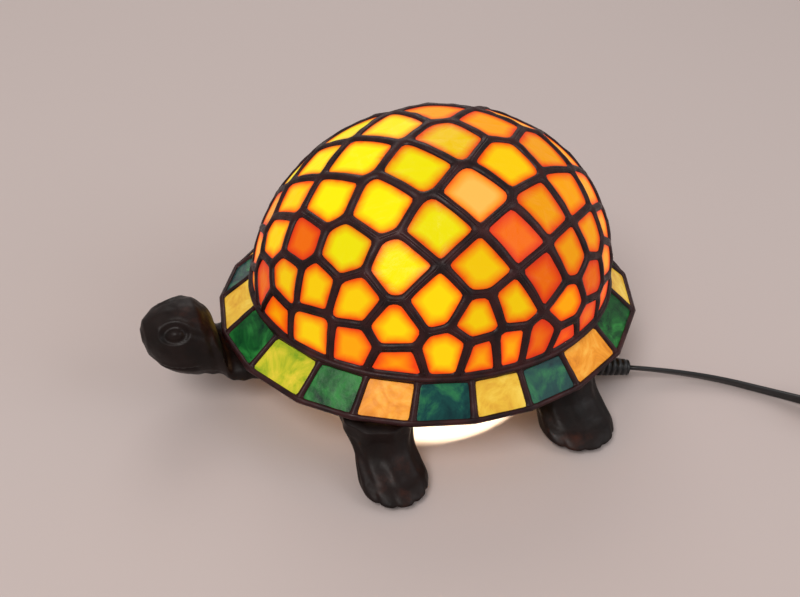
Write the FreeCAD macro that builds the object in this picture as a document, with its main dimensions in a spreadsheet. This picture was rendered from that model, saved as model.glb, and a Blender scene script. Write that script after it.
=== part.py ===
"""A stained-glass turtle lamp: a leaded glass shell on a cast base, with its bulb, cord, switch and plug.

The table is z = 0, the head points to -X and the origin is under the middle of the lamp. Every sub-part is
modelled about the shade's own centre, and its Placement moves it by half of what the head adds to the length.
"""
import FreeCAD, Part
import math
import os
import re
from types import SimpleNamespace

# The driving dimensions, in millimetres and degrees.
SIZES = {
    # the lamp as a whole
    "overall_length": 233.5,
    "rim_length": 200.0,
    "rim_width": 175.5,
    "rim_height": 29.6,
    # the shade
    "waist_length": 168.4,
    "waist_width": 151.2,
    "waist_height": 42.7,
    "dome_rise": 75.5,
    "dome_lean": 3.0,
    "solder_depth": 4.6,
    "lead_width": 3.8,
    "glass_thick": 2.8,
    "glass_cover": 0.9,
    "foil_gap": 0.05,
    "bead_height": 4.6,
    "bead_proud": 1.6,
    "bead_depth": 7.5,
    "came_height": 2.8,
    "skirt_border": 0.6,
    "tab_thick": 1.2,
    "tab_width": 10.0,
    # the base frame
    "plate_length": 160.0,
    "plate_width": 136.0,
    "plate_height": 20.0,
    "plate_thick": 5.0,
    "opening_radius": 44.0,
    "opening_shift": 12.0,
    "post_place_x": 58.0,
    "post_place_y": 40.0,
    "post_radius": 5.0,
    "rest_height": 33.0,
    "locating_pin_radius": 2.0,
    "locating_pin_length": 4.0,
    "pin_gap": 0.25,
    "boss_radius": 14.5,
    "neck_seat": 82.0,
    "neck_seat_thick": 8.0,
    "neck_width": 42.0,
    "neck_thick": 13.0,
    "neck_height": 20.5,
    "tail_seat": 76.0,
    "tail_reach": 98.0,
    # the legs
    "front_foot_x": 49.5,
    "front_foot_y": 82.0,
    "rear_foot_x": 38.0,
    "rear_foot_y": 79.5,
    "leg_spread": 21.0,
    "front_foot_length": 29.0,
    "front_foot_width": 30.0,
    "rear_foot_length": 34.0,
    "rear_foot_width": 32.0,
    "pad_thick": 1.5,
    "pad_radius": 10.0,
    # screws
    "screw_radius": 1.9,
    "screw_gap": 0.1,
    "screw_head_radius": 3.6,
    "screw_head_thick": 2.4,
    "leg_screw_length": 15.0,
    "leg_screw_pitch": 14.0,
    "neck_screw_pitch": 20.0,
    "neck_screw_length": 20.0,
    "neck_screw_drop": 3.0,
    "driver_gap": 0.5,
    # the bulb holder
    "bracket_place": 36.0,
    "bracket_thick": 2.0,
    "bracket_width": 24.0,
    "bracket_foot": 20.0,
    "bracket_top": 12.0,
    "bulb_height": 62.0,
    "nipple_radius": 4.9,
    "nipple_bore": 3.6,
    "nipple_back": 12.0,
    "nipple_front": 5.0,
    "nipple_gap": 0.1,
    "nut_radius": 8.0,
    "nut_thick": 3.5,
    "washer_thick": 0.8,
    "socket_radius": 12.5,
    "socket_wall": 1.5,
    "cap_depth": 13.0,
    "spigot_depth": 3.0,
    "socket_depth": 37.0,
    "socket_floor": 17.0,
    "shell_radius": 6.5,
    "shell_wall": 0.3,
    "shell_depth": 19.0,
    "contact_radius": 2.0,
    "contact_thick": 1.3,
    "terminal_place": 7.0,
    # the bulb
    "bulb_cap_radius": 5.9,
    "bulb_cap_wall": 0.35,
    "bulb_cap_length": 14.0,
    "bulb_tip": 18.6,
    "tip_thick": 1.2,
    "insulator_thick": 2.0,
    "globe_radius": 16.0,
    "globe_place": 58.0,
    "glass_wall": 0.7,
    "filament_radius": 5.0,
    # the cord and what is on it
    "cord_radius": 2.8,
    "outlet_x": 60.4,
    "outlet_y": 52.8,
    "outlet_height": 10.1,
    "outlet_turn": 15.3,
    "outlet_drop": 8.5,
    "outlet_wall": 5.0,
    "outlet_width": 14.0,
    "outlet_hole": 5.0,
    "relief_length": 18.0,
    "relief_end_radius": 3.6,
    "wire_radius": 0.9,
    "coil_centre_x": 231.3,
    "coil_centre_y": 147.0,
    "coil_outer_radius": 37.2,
    "coil_inner_radius": 25.0,
    "coil_height": 11.8,
    "coil_lift": 1.0,
    "tie_width": 5.0,
    "switch_centre_x": 167.1,
    "switch_centre_y": 123.6,
    "switch_turn": 47.0,
    "switch_length": 54.0,
    "switch_width": 20.0,
    "switch_height": 15.0,
    "switch_wall": 1.6,
    "switch_seam": 7.5,
    "switch_cord_height": 4.2,
    "wheel_radius": 9.0,
    "wheel_thick": 5.0,
    "wheel_shift": 4.0,
    "wheel_gap": 0.4,
    "axle_radius": 1.5,
    "axle_gap": 0.05,
    "plug_place_x": 262.4,
    "plug_place_y": 98.5,
    "plug_turn": 100.0,
    "plug_cord_height": 6.6,
    "plug_length": 30.0,
    "plug_width": 20.0,
    "plug_height": 13.0,
    "blade_length": 17.0,
    "blade_width": 6.35,
    "blade_thick": 1.5,
    "blade_pitch": 12.7,
}

# The dome's glass, piece by piece: azimuth about the shade's centre and latitude on the dome, in degrees.
DOME_GLASS = {
    "yellow": [
        (150, 73), (-134, 67), (-179, 61), (136, 56), (-142, 52), (159, 48), (-114, 48), (-167, 47),
        (-147, 36), (-126, 35), (147, 36),
    ],
    "amber": [
        (-110, 80), (-67, 66), (172, 38), (-98, 36), (98, 36), (180, 27), (-112, 26), (112, 26),
        (-137, 23), (137, 23), (-88, 23), (88, 23), (-152, 23), (-165, 20), (-99, 20), (99, 20),
        (-124, 17), (124, 17), (-108, 10), (108, 10), (-149, 8), (149, 8), (173, 3), (114, 48),
        (126, 35), (25, 38), (-9, 14), (25, 16),
    ],
    "orange": [
        (-8, 78), (91, 78), (-28, 60), (-8, 48), (22, 63), (-66, 48), (66, 48), (-44, 47), (44, 47),
        (-25, 38), (-47, 31), (47, 31), (-62, 31), (62, 31), (-32, 27), (160, 26), (-40, 18), (40, 18),
        (-68, 16), (68, 16), (167, 14), (-90, 9), (90, 9), (-135, 9), (135, 9), (-97, 8), (97, 8),
        (-122, 5), (122, 5), (-166, 6), (62, 64), (8, 37), (-16, 26), (16, 26), (-25, 16), (8, 14),
        (-15, 5), (15, 5),
    ],
    "red": [
        (-83, 43), (83, 43), (-166, 32), (-76, 28), (76, 28), (-54, 19), (54, 19), (-177, 11),
        (-79, 8), (79, 8), (-44, 6), (44, 6), (-58, 6), (58, 6), (-69, 4), (69, 4), (0, 25), (32, 27),
        (-30, 6), (0, 5), (30, 6),
    ],
    "pale": [(-97, 58), (97, 58)],
}

# The skirt's glass in order round the rim: each piece's colour and the azimuth at which it ends.
SKIRT_START = -180
SKIRT_GLASS = [
    ("green", -163), ("lime", -144.5), ("green", -129.5), ("amber", -115), ("teal", -100),
    ("cream", -85.5), ("teal", -70.5), ("amber", -52), ("green", -30.5), ("cream", -12), ("green", 4),
    ("amber", 20), ("teal", 36), ("cream", 52), ("green", 68), ("amber", 83), ("teal", 98),
    ("lime", 113), ("green", 129), ("amber", 146), ("teal", 162), ("cream", 180),
]

# Sections of the head and neck: distance ahead of the shade's centre, height of the middle, half width,
# half height, and how square the section is (2 is an ellipse).
HEAD_SECTIONS = [
    (131.6, 35.4, 7.5, 7.5, 2.0),
    (127.0, 34.5, 11.8, 12.2, 2.0),
    (120.0, 33.0, 15.0, 15.6, 2.0),
    (112.0, 31.0, 16.6, 16.2, 2.0),
    (106.0, 27.0, 17.2, 12.2, 2.2),
    (101.5, 22.2, 18.4, 6.6, 2.6),
    (94.0, 20.8, 20.0, 6.5, 3.0),
]
NOSE_HEIGHT = 35.6
NOSE_RADIUS = 3.2

# Sections of a leg from its boss to its foot: how far down, how far out, and the shares of the foot's
# length and width.
LEG_SECTIONS = [
    (0.0, 0.0, 0.88, 0.86), (0.33, 0.33, 0.88, 0.74), (0.65, 0.7, 0.94, 0.88), (0.86, 0.97, 1.0, 1.0),
    (1.0, 1.0, 0.97, 0.97),
]

# The cord's routes between the pieces on it: x, y and the height of its centre, chosen by hand.
CORD_BEGIN = [(94.8, -62.2, 4.8), (118.5, -74.6, 2.8), (134.5, -89.0, 2.8)]
CORD_END = [(267.1, -125.1, 6.6)]

COIL_REACH = 18.5

# The two conductors inside the base, from the strain relief up to the socket.
LEAD_ROUTE = [
    (49.0, -42.0, 11.2), (56.0, -29.0, 12.0), (60.0, -19.0, 19.0), (60.0, -16.0, 32.0), (60.0, -8.0, 47.0),
    (57.0, -2.2, 60.0),
]
LEAD_HOLE = (60.0, -18.0)
LEAD_HOLE_RADIUS = 5.0

doc = FreeCAD.newDocument("TurtleLamp")
sheet = doc.addObject("Spreadsheet::Sheet", "Sizes")
for row, (alias, value) in enumerate(SIZES.items(), 1):
    sheet.set(f"A{row}", alias.replace("_", " "))
    sheet.set(f"B{row}", str(value))
    sheet.setAlias(f"B{row}", alias)
doc.recompute()
size = SimpleNamespace(**{alias: float(sheet.get(alias)) for alias in SIZES})

Vector = FreeCAD.Vector
Rotation = FreeCAD.Rotation
UPRIGHT = Rotation()
ALONG_X = Rotation(Vector(0, 1, 0), 90)
BULB_AXIS = Rotation(Vector(0, 1, 0), -90)
SHADE_X = "(overall_length - rim_length) / 2"
sub_parts = []


# ---------------------------------------------------------------- document helpers

def formula(text):
    """The text with each size's name pointed at its cell."""
    return re.sub(r"[a-z_]+", lambda word: f"Sizes.{word[0]}" if word[0] in SIZES else word[0], text)


def place(item, at, turn):
    """Bind an object's position to formulas, with a fixed rotation."""
    item.Placement = FreeCAD.Placement(Vector(), turn)
    for axis, text in zip("xyz", at):
        item.setExpression(f"Placement.Base.{axis}", formula(str(text)))


def primitive(kind, at=(0, 0, 0), turn=UPRIGHT, **sizes):
    """A Part primitive whose sizes and position are formulas of the sheet's cells."""
    item = doc.addObject(f"Part::{kind}", kind)
    for name, text in sizes.items():
        item.setExpression(name, formula(str(text)))
    place(item, at, turn)
    return item


def cylinder(radius, height, at=(0, 0, 0), turn=UPRIGHT):
    return primitive("Cylinder", at, turn, Radius=radius, Height=height)


def cone(bottom, top, height, at=(0, 0, 0), turn=UPRIGHT):
    return primitive("Cone", at, turn, Radius1=bottom, Radius2=top, Height=height)


def box(length, width, height, at=(0, 0, 0), turn=UPRIGHT):
    return primitive("Box", at, turn, Length=length, Width=width, Height=height)


def sphere(radius, at=(0, 0, 0)):
    return primitive("Sphere", at, Radius=radius)


def elliptic_plate(length, width, thick, at):
    """An elliptic plate, as a solid extrusion of an ellipse."""
    outline = primitive("Ellipse", at, MajorRadius=f"{length} / 2", MinorRadius=f"{width} / 2")
    item = doc.addObject("Part::Extrusion", "Plate")
    item.Base = outline
    item.DirMode = "Custom"
    item.Dir = Vector(0, 0, 1)
    item.Solid = True
    item.setExpression("LengthFwd", formula(str(thick)))
    return item


def fuse(*items):
    item = doc.addObject("Part::MultiFuse", "Fuse")
    item.Shapes = list(items)
    return item


def cut(base, *tools):
    item = doc.addObject("Part::Cut", "Cut")
    item.Base = base
    item.Tool = tools[0] if len(tools) == 1 else fuse(*tools)
    return item


def group(*items):
    """Separate solids that make up one sub-part."""
    item = doc.addObject("Part::Compound", "Group")
    item.Links = list(items)
    return item


def sub_part(label, item, at=(0, 0, 0), turn=UPRIGHT):
    """Name a sub-part and move it from the shade's centre to the lamp's frame."""
    item.Label = label
    place(item, (f"{SHADE_X} + {at[0]}", at[1], at[2]), turn)
    sub_parts.append(item)


def shaped(label, shape):
    """A sub-part whose shape is computed below from the sheet's sizes."""
    item = doc.addObject("Part::Feature", "Shape")
    item.Shape = shape
    sub_part(label, item)


# ---------------------------------------------------------------- the glass shade

WAIST_TOP = size.waist_height + size.bead_height / 2
WAIST_BOTTOM = size.waist_height - size.bead_height / 2
LOWEST_LATITUDE = math.degrees(math.asin((WAIST_TOP - size.waist_height) / size.dome_rise))


def dome_point(azimuth, latitude, depth=0.0):
    """A point on the dome, the given depth under its outer surface."""
    east, north = math.radians(azimuth), math.radians(latitude)
    return Vector(
        (size.waist_length / 2 - depth) * math.cos(north) * math.cos(east) + size.dome_lean * math.sin(north),
        (size.waist_width / 2 - depth) * math.cos(north) * math.sin(east),
        size.waist_height + (size.dome_rise - depth) * math.sin(north),
    )


def dome_solid(depth):
    """The dome as a solid, the given depth under its outer surface."""
    matrix = FreeCAD.Matrix(
        size.waist_length / 2 - depth, 0, size.dome_lean, 0,
        0, size.waist_width / 2 - depth, 0, 0,
        0, 0, size.dome_rise - depth, size.waist_height,
        0, 0, 0, 1,
    )
    return Part.makeSphere(1.0).transformGeometry(matrix)


def to_map(azimuth, latitude):
    """The dome's flat map: the top is the middle of a disc, and its edge is the waist."""
    radius = math.tan(math.radians((90 - latitude) / 2))
    return radius * math.cos(math.radians(azimuth)), radius * math.sin(math.radians(azimuth))


def from_map(x, y):
    return math.degrees(math.atan2(y, x)), 90 - 2 * math.degrees(math.atan(math.hypot(x, y)))


def nearer_side(polygon, near, far):
    """The part of a convex polygon on the map that is nearer to one point than to another."""
    middle = ((near[0] + far[0]) / 2, (near[1] + far[1]) / 2)
    across = (far[0] - near[0], far[1] - near[1])
    kept = []
    for here, there in zip(polygon, polygon[1:] + polygon[:1]):
        a = (here[0] - middle[0]) * across[0] + (here[1] - middle[1]) * across[1]
        b = (there[0] - middle[0]) * across[0] + (there[1] - middle[1]) * across[1]
        if a <= 0:
            kept.append(here)
        if a * b < 0:
            share = a / (a - b)
            kept.append((here[0] + share * (there[0] - here[0]), here[1] + share * (there[1] - here[1])))
    return kept


def dome_cells():
    """Each glass piece's share of the map, as (colour, polygon)."""
    edge = to_map(0, LOWEST_LATITUDE)[0]
    seeds = [(colour, to_map(*spot)) for colour, spots in DOME_GLASS.items() for spot in spots]
    mirrored = []
    for _, (x, y) in seeds:
        beyond = 2 * edge / math.hypot(x, y) - 1
        mirrored.append((x * beyond, y * beyond))
    cells = []
    for colour, spot in seeds:
        polygon = [(-edge, -edge), (edge, -edge), (edge, edge), (-edge, edge)]
        for other in [seed for _, seed in seeds if seed != spot] + mirrored:
            polygon = nearer_side(polygon, spot, other)
        cells.append((colour, polygon))
    return cells


def flattened(points):
    """Points, without repeats, moved onto the plane that fits them, and that plane's outward normal."""
    points = [here for here, there in zip(points, points[1:] + points[:1]) if (there - here).Length > 0.05]
    centre = sum(points, Vector()) / len(points)
    normal = Vector()
    for here, there in zip(points, points[1:] + points[:1]):
        normal += (here - centre).cross(there - centre)
    normal.normalize()
    return [p - normal * (p - centre).dot(normal) for p in points], normal


def drawn_in(points, normal, distance):
    """A flat convex polygon with every edge moved inwards."""
    kept = list(points)
    for here, there in zip(points, points[1:] + points[:1]):
        inward = normal.cross(there - here).normalize()
        start = here + inward * distance
        trimmed = []
        for a, b in zip(kept, kept[1:] + kept[:1]):
            side_a, side_b = (a - start).dot(inward), (b - start).dot(inward)
            if side_a >= 0:
                trimmed.append(a)
            if side_a * side_b < 0:
                trimmed.append(a + (b - a) * (side_a / (side_a - side_b)))
        kept = trimmed
    return kept


def prism(points, normal, below, above):
    """A flat polygon thickened below and above its plane."""
    outline = Part.makePolygon([p - normal * below for p in points + points[:1]])
    return Part.Face(outline).extrude(normal * (below + above))


def pane(corners):
    """A flat glass piece from its cell's corners, its window in the lattice and its channel in a frame."""
    points, normal = flattened(corners)
    glass = drawn_in(points, normal, size.lead_width / 2 + size.foil_gap)
    window = drawn_in(points, normal, size.lead_width / 2)
    half_glass = size.glass_thick / 2
    half_channel = half_glass + size.foil_gap
    reach = 2 * size.solder_depth
    return SimpleNamespace(
        glass=prism(glass, normal, half_glass, half_glass),
        window=prism(window, normal, reach, reach),
        channel=prism(window, normal, half_channel, half_channel),
    )


def dome_parts():
    """The dome's glass by colour, and its solder lattice."""
    middle_depth = size.glass_cover + size.glass_thick / 2
    glass, windows = {colour: [] for colour in DOME_GLASS}, []
    for colour, cell in dome_cells():
        corners = [dome_point(*from_map(*spot), middle_depth) for spot in cell]
        made = pane(corners)
        glass[colour].append(made.glass)
        windows.append(made.window)
    reach = size.rim_length
    above_waist = Part.makeBox(2 * reach, 2 * reach, reach, Vector(-reach, -reach, WAIST_TOP))
    shell = dome_solid(0).cut(dome_solid(size.solder_depth)).common(above_waist)
    return glass, shell.cut(windows)


SKIRT_SLANT = math.hypot((size.rim_length - size.waist_length) / 2, size.waist_height - size.rim_height)
SKIRT_LEAN = SKIRT_SLANT / (size.waist_height - size.rim_height)


def skirt_half(height, depth, end):
    """Half the skirt's length (end 0) or width (end 1) at a height, the given depth under its surface."""
    share = (size.waist_height - height) / (size.waist_height - size.rim_height)
    waist, rim = ((size.waist_length, size.rim_length), (size.waist_width, size.rim_width))[end]
    return (waist + share * (rim - waist)) / 2 - depth * SKIRT_LEAN


def skirt_solid(low, high, depth):
    """The skirt as a solid between two heights, the given depth under its surface."""
    outlines = []
    for height in (low, high):
        half_length, half_width = skirt_half(height, depth, 0), skirt_half(height, depth, 1)
        outlines.append(Part.Wire([Part.Ellipse(Vector(0, 0, height), half_length, half_width).toShape()]))
    return Part.makeLoft(outlines, True, True)


def skirt_ring(low, high, proud, depth):
    """A ring of the skirt between two heights, from proud of its surface to the given depth."""
    return skirt_solid(low, high, -proud).cut(skirt_solid(low, high, depth))


def skirt_parts():
    """The skirt's glass by colour, its solder ribs, and the channels that hold it above and below."""
    came_top = size.rim_height + size.came_height
    half_lead = size.lead_width / 2
    drop = 1 / SKIRT_LEAN
    low = came_top + (size.skirt_border - half_lead) * drop
    high = WAIST_BOTTOM - (size.skirt_border - half_lead) * drop
    glass, windows, channels = {}, [], []
    begin = SKIRT_START
    for colour, end in SKIRT_GLASS:
        corners = []
        for azimuth, height in ((begin, low), (end, low), (end, high), (begin, high)):
            angle = math.radians(azimuth)
            depth = size.glass_cover + size.glass_thick / 2
            corners.append(Vector(
                skirt_half(height, depth, 0) * math.cos(angle),
                skirt_half(height, depth, 1) * math.sin(angle),
                height,
            ))
        made = pane(corners)
        glass.setdefault(colour, []).append(made.glass)
        windows.append(made.window)
        channels.append(made.channel)
        begin = end
    return glass, skirt_ring(came_top, WAIST_BOTTOM, 0, size.solder_depth).cut(windows), channels


def waist_bead():
    """The ring of solder between the dome and the skirt."""
    outer, inner = size.bead_proud, size.bead_proud - size.bead_depth
    plates = []
    for growth in (outer, inner):
        outline = Part.Ellipse(
            Vector(0, 0, WAIST_BOTTOM), size.waist_length / 2 + growth, size.waist_width / 2 + growth
        )
        face = Part.Face(Part.Wire([outline.toShape()]))
        plates.append(face.extrude(Vector(0, 0, size.bead_height)))
    return plates[0].cut(plates[1])


def shade_tabs():
    """Four brass strips, soldered inside the rim, each with a hole for its locating pin."""
    inside = skirt_solid(size.rim_height, WAIST_BOTTOM, size.solder_depth)
    outward = math.degrees(math.atan2(size.post_place_y, size.post_place_x))
    tabs = []
    for side_x in (-1, 1):
        for side_y in (-1, 1):
            angle = side_y * outward if side_x > 0 else 180 - side_y * outward
            centre = Vector(side_x * size.post_place_x, side_y * size.post_place_y, size.rest_height)
            strip = Part.makeBox(
                size.rim_length / 4, size.tab_width, size.tab_thick,
                Vector(-size.post_radius, -size.tab_width / 2, 0),
            )
            strip.Placement = FreeCAD.Placement(centre, Rotation(Vector(0, 0, 1), angle))
            hole = Part.makeCylinder(
                size.locating_pin_radius + size.pin_gap, 3 * size.tab_thick,
                centre - Vector(0, 0, size.tab_thick),
            )
            tabs.append(strip.common(inside).cut(hole))
    return tabs


def make_shade():
    dome_glass, lattice = dome_parts()
    skirt_glass, ribs, channels = skirt_parts()
    for colour, pieces in dome_glass.items():
        shaped(f"dome_glass_{colour}", Part.Compound(pieces))
    for colour, pieces in skirt_glass.items():
        shaped(f"skirt_glass_{colour}", Part.Compound(pieces))
    came_top = size.rim_height + size.came_height
    shaped("dome_solder", lattice)
    shaped("skirt_solder", ribs)
    shaped("waist_bead", waist_bead().cut(channels))
    shaped("rim_came", skirt_ring(size.rim_height, came_top, 0, size.solder_depth).cut(channels))
    shaped("shade_tabs", Part.Compound(shade_tabs()))


# ---------------------------------------------------------------- the cast base

FEET = {
    "front_right": ("-front_foot_x", "-front_foot_y"),
    "front_left": ("-front_foot_x", "front_foot_y"),
    "rear_right": ("rear_foot_x", "-rear_foot_y"),
    "rear_left": ("rear_foot_x", "rear_foot_y"),
}
PLATE_TOP = "plate_height + plate_thick"


def boss_y(foot_y):
    """Where a leg's boss is across the lamp: nearer the middle than its foot."""
    return f"{foot_y} + leg_spread" if foot_y.startswith("-") else f"{foot_y} - leg_spread"


def make_base_frame():
    """The oval plate with its light opening, posts and pins, leg bosses, seats and cord outlet."""
    solids = [elliptic_plate("plate_length", "plate_width", "plate_thick", (0, 0, "plate_height"))]
    holes = [cylinder(
        "opening_radius", "3 * plate_thick", ("-opening_shift", 0, "plate_height - plate_thick")
    )]
    for foot_x, foot_y in FEET.values():
        solids.append(cylinder("boss_radius", "plate_thick", (foot_x, boss_y(foot_y), "plate_height")))
    for side_x in ("-", ""):
        for side_y in ("-", ""):
            spot = (f"{side_x}post_place_x", f"{side_y}post_place_y")
            solids.append(cylinder("post_radius", "rest_height - plate_height", (*spot, "plate_height")))
            solids.append(cylinder("locating_pin_radius", "locating_pin_length", (*spot, "rest_height")))
    neck_low = "neck_height - neck_thick / 2"
    solids.append(box(
        "neck_seat_thick", "neck_width", "neck_thick", ("-neck_seat", "-neck_width / 2", neck_low)
    ))
    solids.append(box("12", "14", "plate_thick", ("tail_seat - 12", "-7", "plate_height - plate_thick / 2")))
    outlet = ("outlet_x", "-outlet_y", "outlet_height")
    outlet_turn = Rotation(-size.outlet_turn, size.outlet_drop, 0)
    wall = cut(
        box("outlet_wall", "outlet_width", "plate_height - 3",
            ("-outlet_wall", "-outlet_width / 2", "4 - outlet_height")),
        cylinder("outlet_hole", "3 * outlet_wall", ("-2 * outlet_wall", 0, 0), ALONG_X),
    )
    place(wall, outlet, outlet_turn)
    lug = box("3 * outlet_wall", "outlet_width", "plate_thick",
              ("-3 * outlet_wall", "-outlet_width / 2", 0))
    lug_joined = group(lug)
    place(lug_joined, (*outlet[:2], "plate_height"), Rotation(-size.outlet_turn, 0, 0))
    solids += [wall, lug_joined]
    hole_radius = "screw_radius + screw_gap"
    for foot_x, foot_y in FEET.values():
        for side in ("-", "+"):
            spot = (f"{foot_x} {side} leg_screw_pitch / 2", boss_y(foot_y), "plate_height - plate_thick")
            holes.append(cylinder(hole_radius, "3 * plate_thick", spot))
    for side in ("-", "+"):
        across, up = f"0 {side} neck_screw_pitch / 2", "neck_height - neck_screw_drop"
        holes.append(cylinder(hole_radius, "2 * neck_seat_thick", ("-neck_seat - 1", across, up), ALONG_X))
        holes.append(cylinder("screw_head_radius + driver_gap", "neck_screw_length",
                              ("neck_seat_thick - neck_seat", across, up), ALONG_X))
        spot = ("bracket_place + bracket_thick + bracket_foot / 2", f"0 {side} bracket_width / 4",
                "plate_height - plate_thick")
        holes.append(cylinder(hole_radius, "3 * plate_thick", spot))
    holes.append(cylinder(hole_radius, "4 * plate_thick", ("tail_seat - 6", 0, "plate_height - plate_thick")))
    holes.append(cylinder(LEAD_HOLE_RADIUS, "3 * plate_thick", (*LEAD_HOLE, "plate_height - plate_thick")))
    sub_part("base_frame", cut(fuse(*solids), *holes))


def section(place_x, height, half_width, half_height, squareness):
    """A closed smooth section of the head or neck, across X."""
    points = []
    for step in range(16):
        angle = 2 * math.pi * step / 16
        across, up = math.cos(angle), math.sin(angle)
        points.append(Vector(
            -place_x,
            half_width * math.copysign(abs(across) ** (2 / squareness), across),
            height + half_height * math.copysign(abs(up) ** (2 / squareness), up),
        ))
    curve = Part.BSplineCurve()
    curve.interpolate(Points=points, PeriodicFlag=True)
    return Part.Wire([curve.toShape()])


def make_head():
    """The head and neck, seated on the front of the base frame, with two tapped holes behind."""
    nose = (size.overall_length - size.rim_length / 2, NOSE_HEIGHT, NOSE_RADIUS, NOSE_RADIUS, 2.0)
    neck = (size.neck_seat, size.neck_height, size.neck_width / 2, size.neck_thick / 2, 3.0)
    head = Part.makeLoft([section(*values) for values in [nose, *HEAD_SECTIONS, neck]], True, False)
    screw_height = size.neck_height - size.neck_screw_drop
    for side in (-1, 1):
        hole = Part.makeCylinder(
            size.screw_radius + size.screw_gap, size.neck_screw_length,
            Vector(-size.neck_seat, side * size.neck_screw_pitch / 2, screw_height), Vector(-1, 0, 0),
        )
        head = head.cut(hole)
    shaped("head", head)


def oval(centre, length, width):
    """A level oval of any length and width."""
    long, short = max(length, width), min(length, width)
    edge = Part.Ellipse(centre, long / 2, short / 2).toShape()
    if width > length:
        edge.rotate(centre, Vector(0, 0, 1), 90)
    return Part.Wire([edge])


def make_leg(name, foot_x, foot_y, foot_length, foot_width):
    """A leg from under its boss out and down to its foot, with two tapped holes in its top."""
    side = math.copysign(1, foot_y)
    top, bottom = size.plate_height, size.pad_thick
    outlines = []
    for down, out, share_long, share_wide in LEG_SECTIONS:
        centre = Vector(foot_x, foot_y - side * size.leg_spread * (1 - out), top + (bottom - top) * down)
        outlines.append(oval(centre, share_long * foot_length, share_wide * foot_width))
    leg = Part.makeLoft(outlines, True, False)
    for way in (-1, 1):
        spot = Vector(foot_x + way * size.leg_screw_pitch / 2, foot_y - side * size.leg_spread, top)
        depth = size.leg_screw_length - size.plate_thick
        leg = leg.cut(Part.makeCylinder(size.screw_radius + size.screw_gap, depth, spot, Vector(0, 0, -1)))
    shaped(f"leg_{name}", leg)


def screw(spot, length, turn=UPRIGHT):
    """A round-headed screw whose head seats at a spot, with its shank below."""
    item = fuse(
        cylinder("screw_radius", length, (0, 0, f"0 - ({length})")),
        cylinder("screw_head_radius", "screw_head_thick"),
    )
    place(item, spot, turn)
    return item


def make_base():
    make_base_frame()
    make_head()
    screws, pads = [], []
    for name, (foot_x, foot_y) in FEET.items():
        away = -1 if "right" in name else 1
        if "front" in name:
            make_leg(name, -size.front_foot_x, away * size.front_foot_y, size.front_foot_length,
                     size.front_foot_width)
        else:
            make_leg(name, size.rear_foot_x, away * size.rear_foot_y, size.rear_foot_length,
                     size.rear_foot_width)
        pads.append(cylinder("pad_radius", "pad_thick", (foot_x, foot_y, 0)))
        for side in ("-", "+"):
            spot = (f"{foot_x} {side} leg_screw_pitch / 2", boss_y(foot_y), PLATE_TOP)
            screws.append(screw(spot, "leg_screw_length - 1"))
    sub_part("foot_pads", group(*pads))
    sub_part("leg_screws", group(*screws))
    behind = "neck_seat_thick - neck_seat"
    sub_part("head_screws", group(*[
        screw((behind, f"0 {side} neck_screw_pitch / 2", "neck_height - neck_screw_drop"),
              "neck_screw_length", ALONG_X)
        for side in ("-", "+")
    ]))
    tail_low = "plate_height - plate_thick / 2"
    tail = fuse(
        cone("4.5", "1", "tail_reach - tail_seat", ("tail_seat", 0, "plate_height - 5.2"),
             Rotation(Vector(0, 1, 0), 104)),
        box("12", "9", "4", ("tail_seat - 12", "-4.5", f"{tail_low} - 4")),
    )
    hole = cylinder("screw_radius + screw_gap", "8", ("tail_seat - 6", 0, "plate_height - 8"))
    sub_part("tail", cut(tail, hole))
    sub_part("tail_screw", screw(("0", "0", "0"), "plate_thick + 5"), ("tail_seat - 6", 0, PLATE_TOP))


# ---------------------------------------------------------------- the bulb holder and the bulb

ON_AXIS = ("bracket_place", 0, "bulb_height")


def ring(outer, inner, thick, start=0):
    """A flat ring about the bulb's axis, from a distance in front of the bracket."""
    hole = cylinder(inner, f"3 * ({thick})", (0, 0, f"{start} - ({thick})"))
    return cut(cylinder(outer, thick, (0, 0, start)), hole)


def make_bracket():
    upright = box("bracket_thick", "bracket_width", "bulb_height + bracket_top - plate_height - plate_thick",
                  ("bracket_place", "-bracket_width / 2", PLATE_TOP))
    foot = box("bracket_foot", "bracket_width", "bracket_thick",
               ("bracket_place", "-bracket_width / 2", PLATE_TOP))
    holes = [cylinder("nipple_radius + nipple_gap", "3 * bracket_thick",
                      ("bracket_place - bracket_thick", 0, "bulb_height"), ALONG_X)]
    screws = []
    for side in ("-", "+"):
        spot = ("bracket_place + bracket_thick + bracket_foot / 2", f"0 {side} bracket_width / 4")
        holes.append(cylinder("screw_radius + screw_gap", "3 * bracket_thick",
                              (*spot, f"{PLATE_TOP} - bracket_thick")))
        screws.append(screw((*spot, f"{PLATE_TOP} + bracket_thick"), "plate_thick + bracket_thick + 2"))
    sub_part("socket_bracket", cut(fuse(upright, foot), *holes))
    sub_part("bracket_screws", group(*screws))


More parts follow.
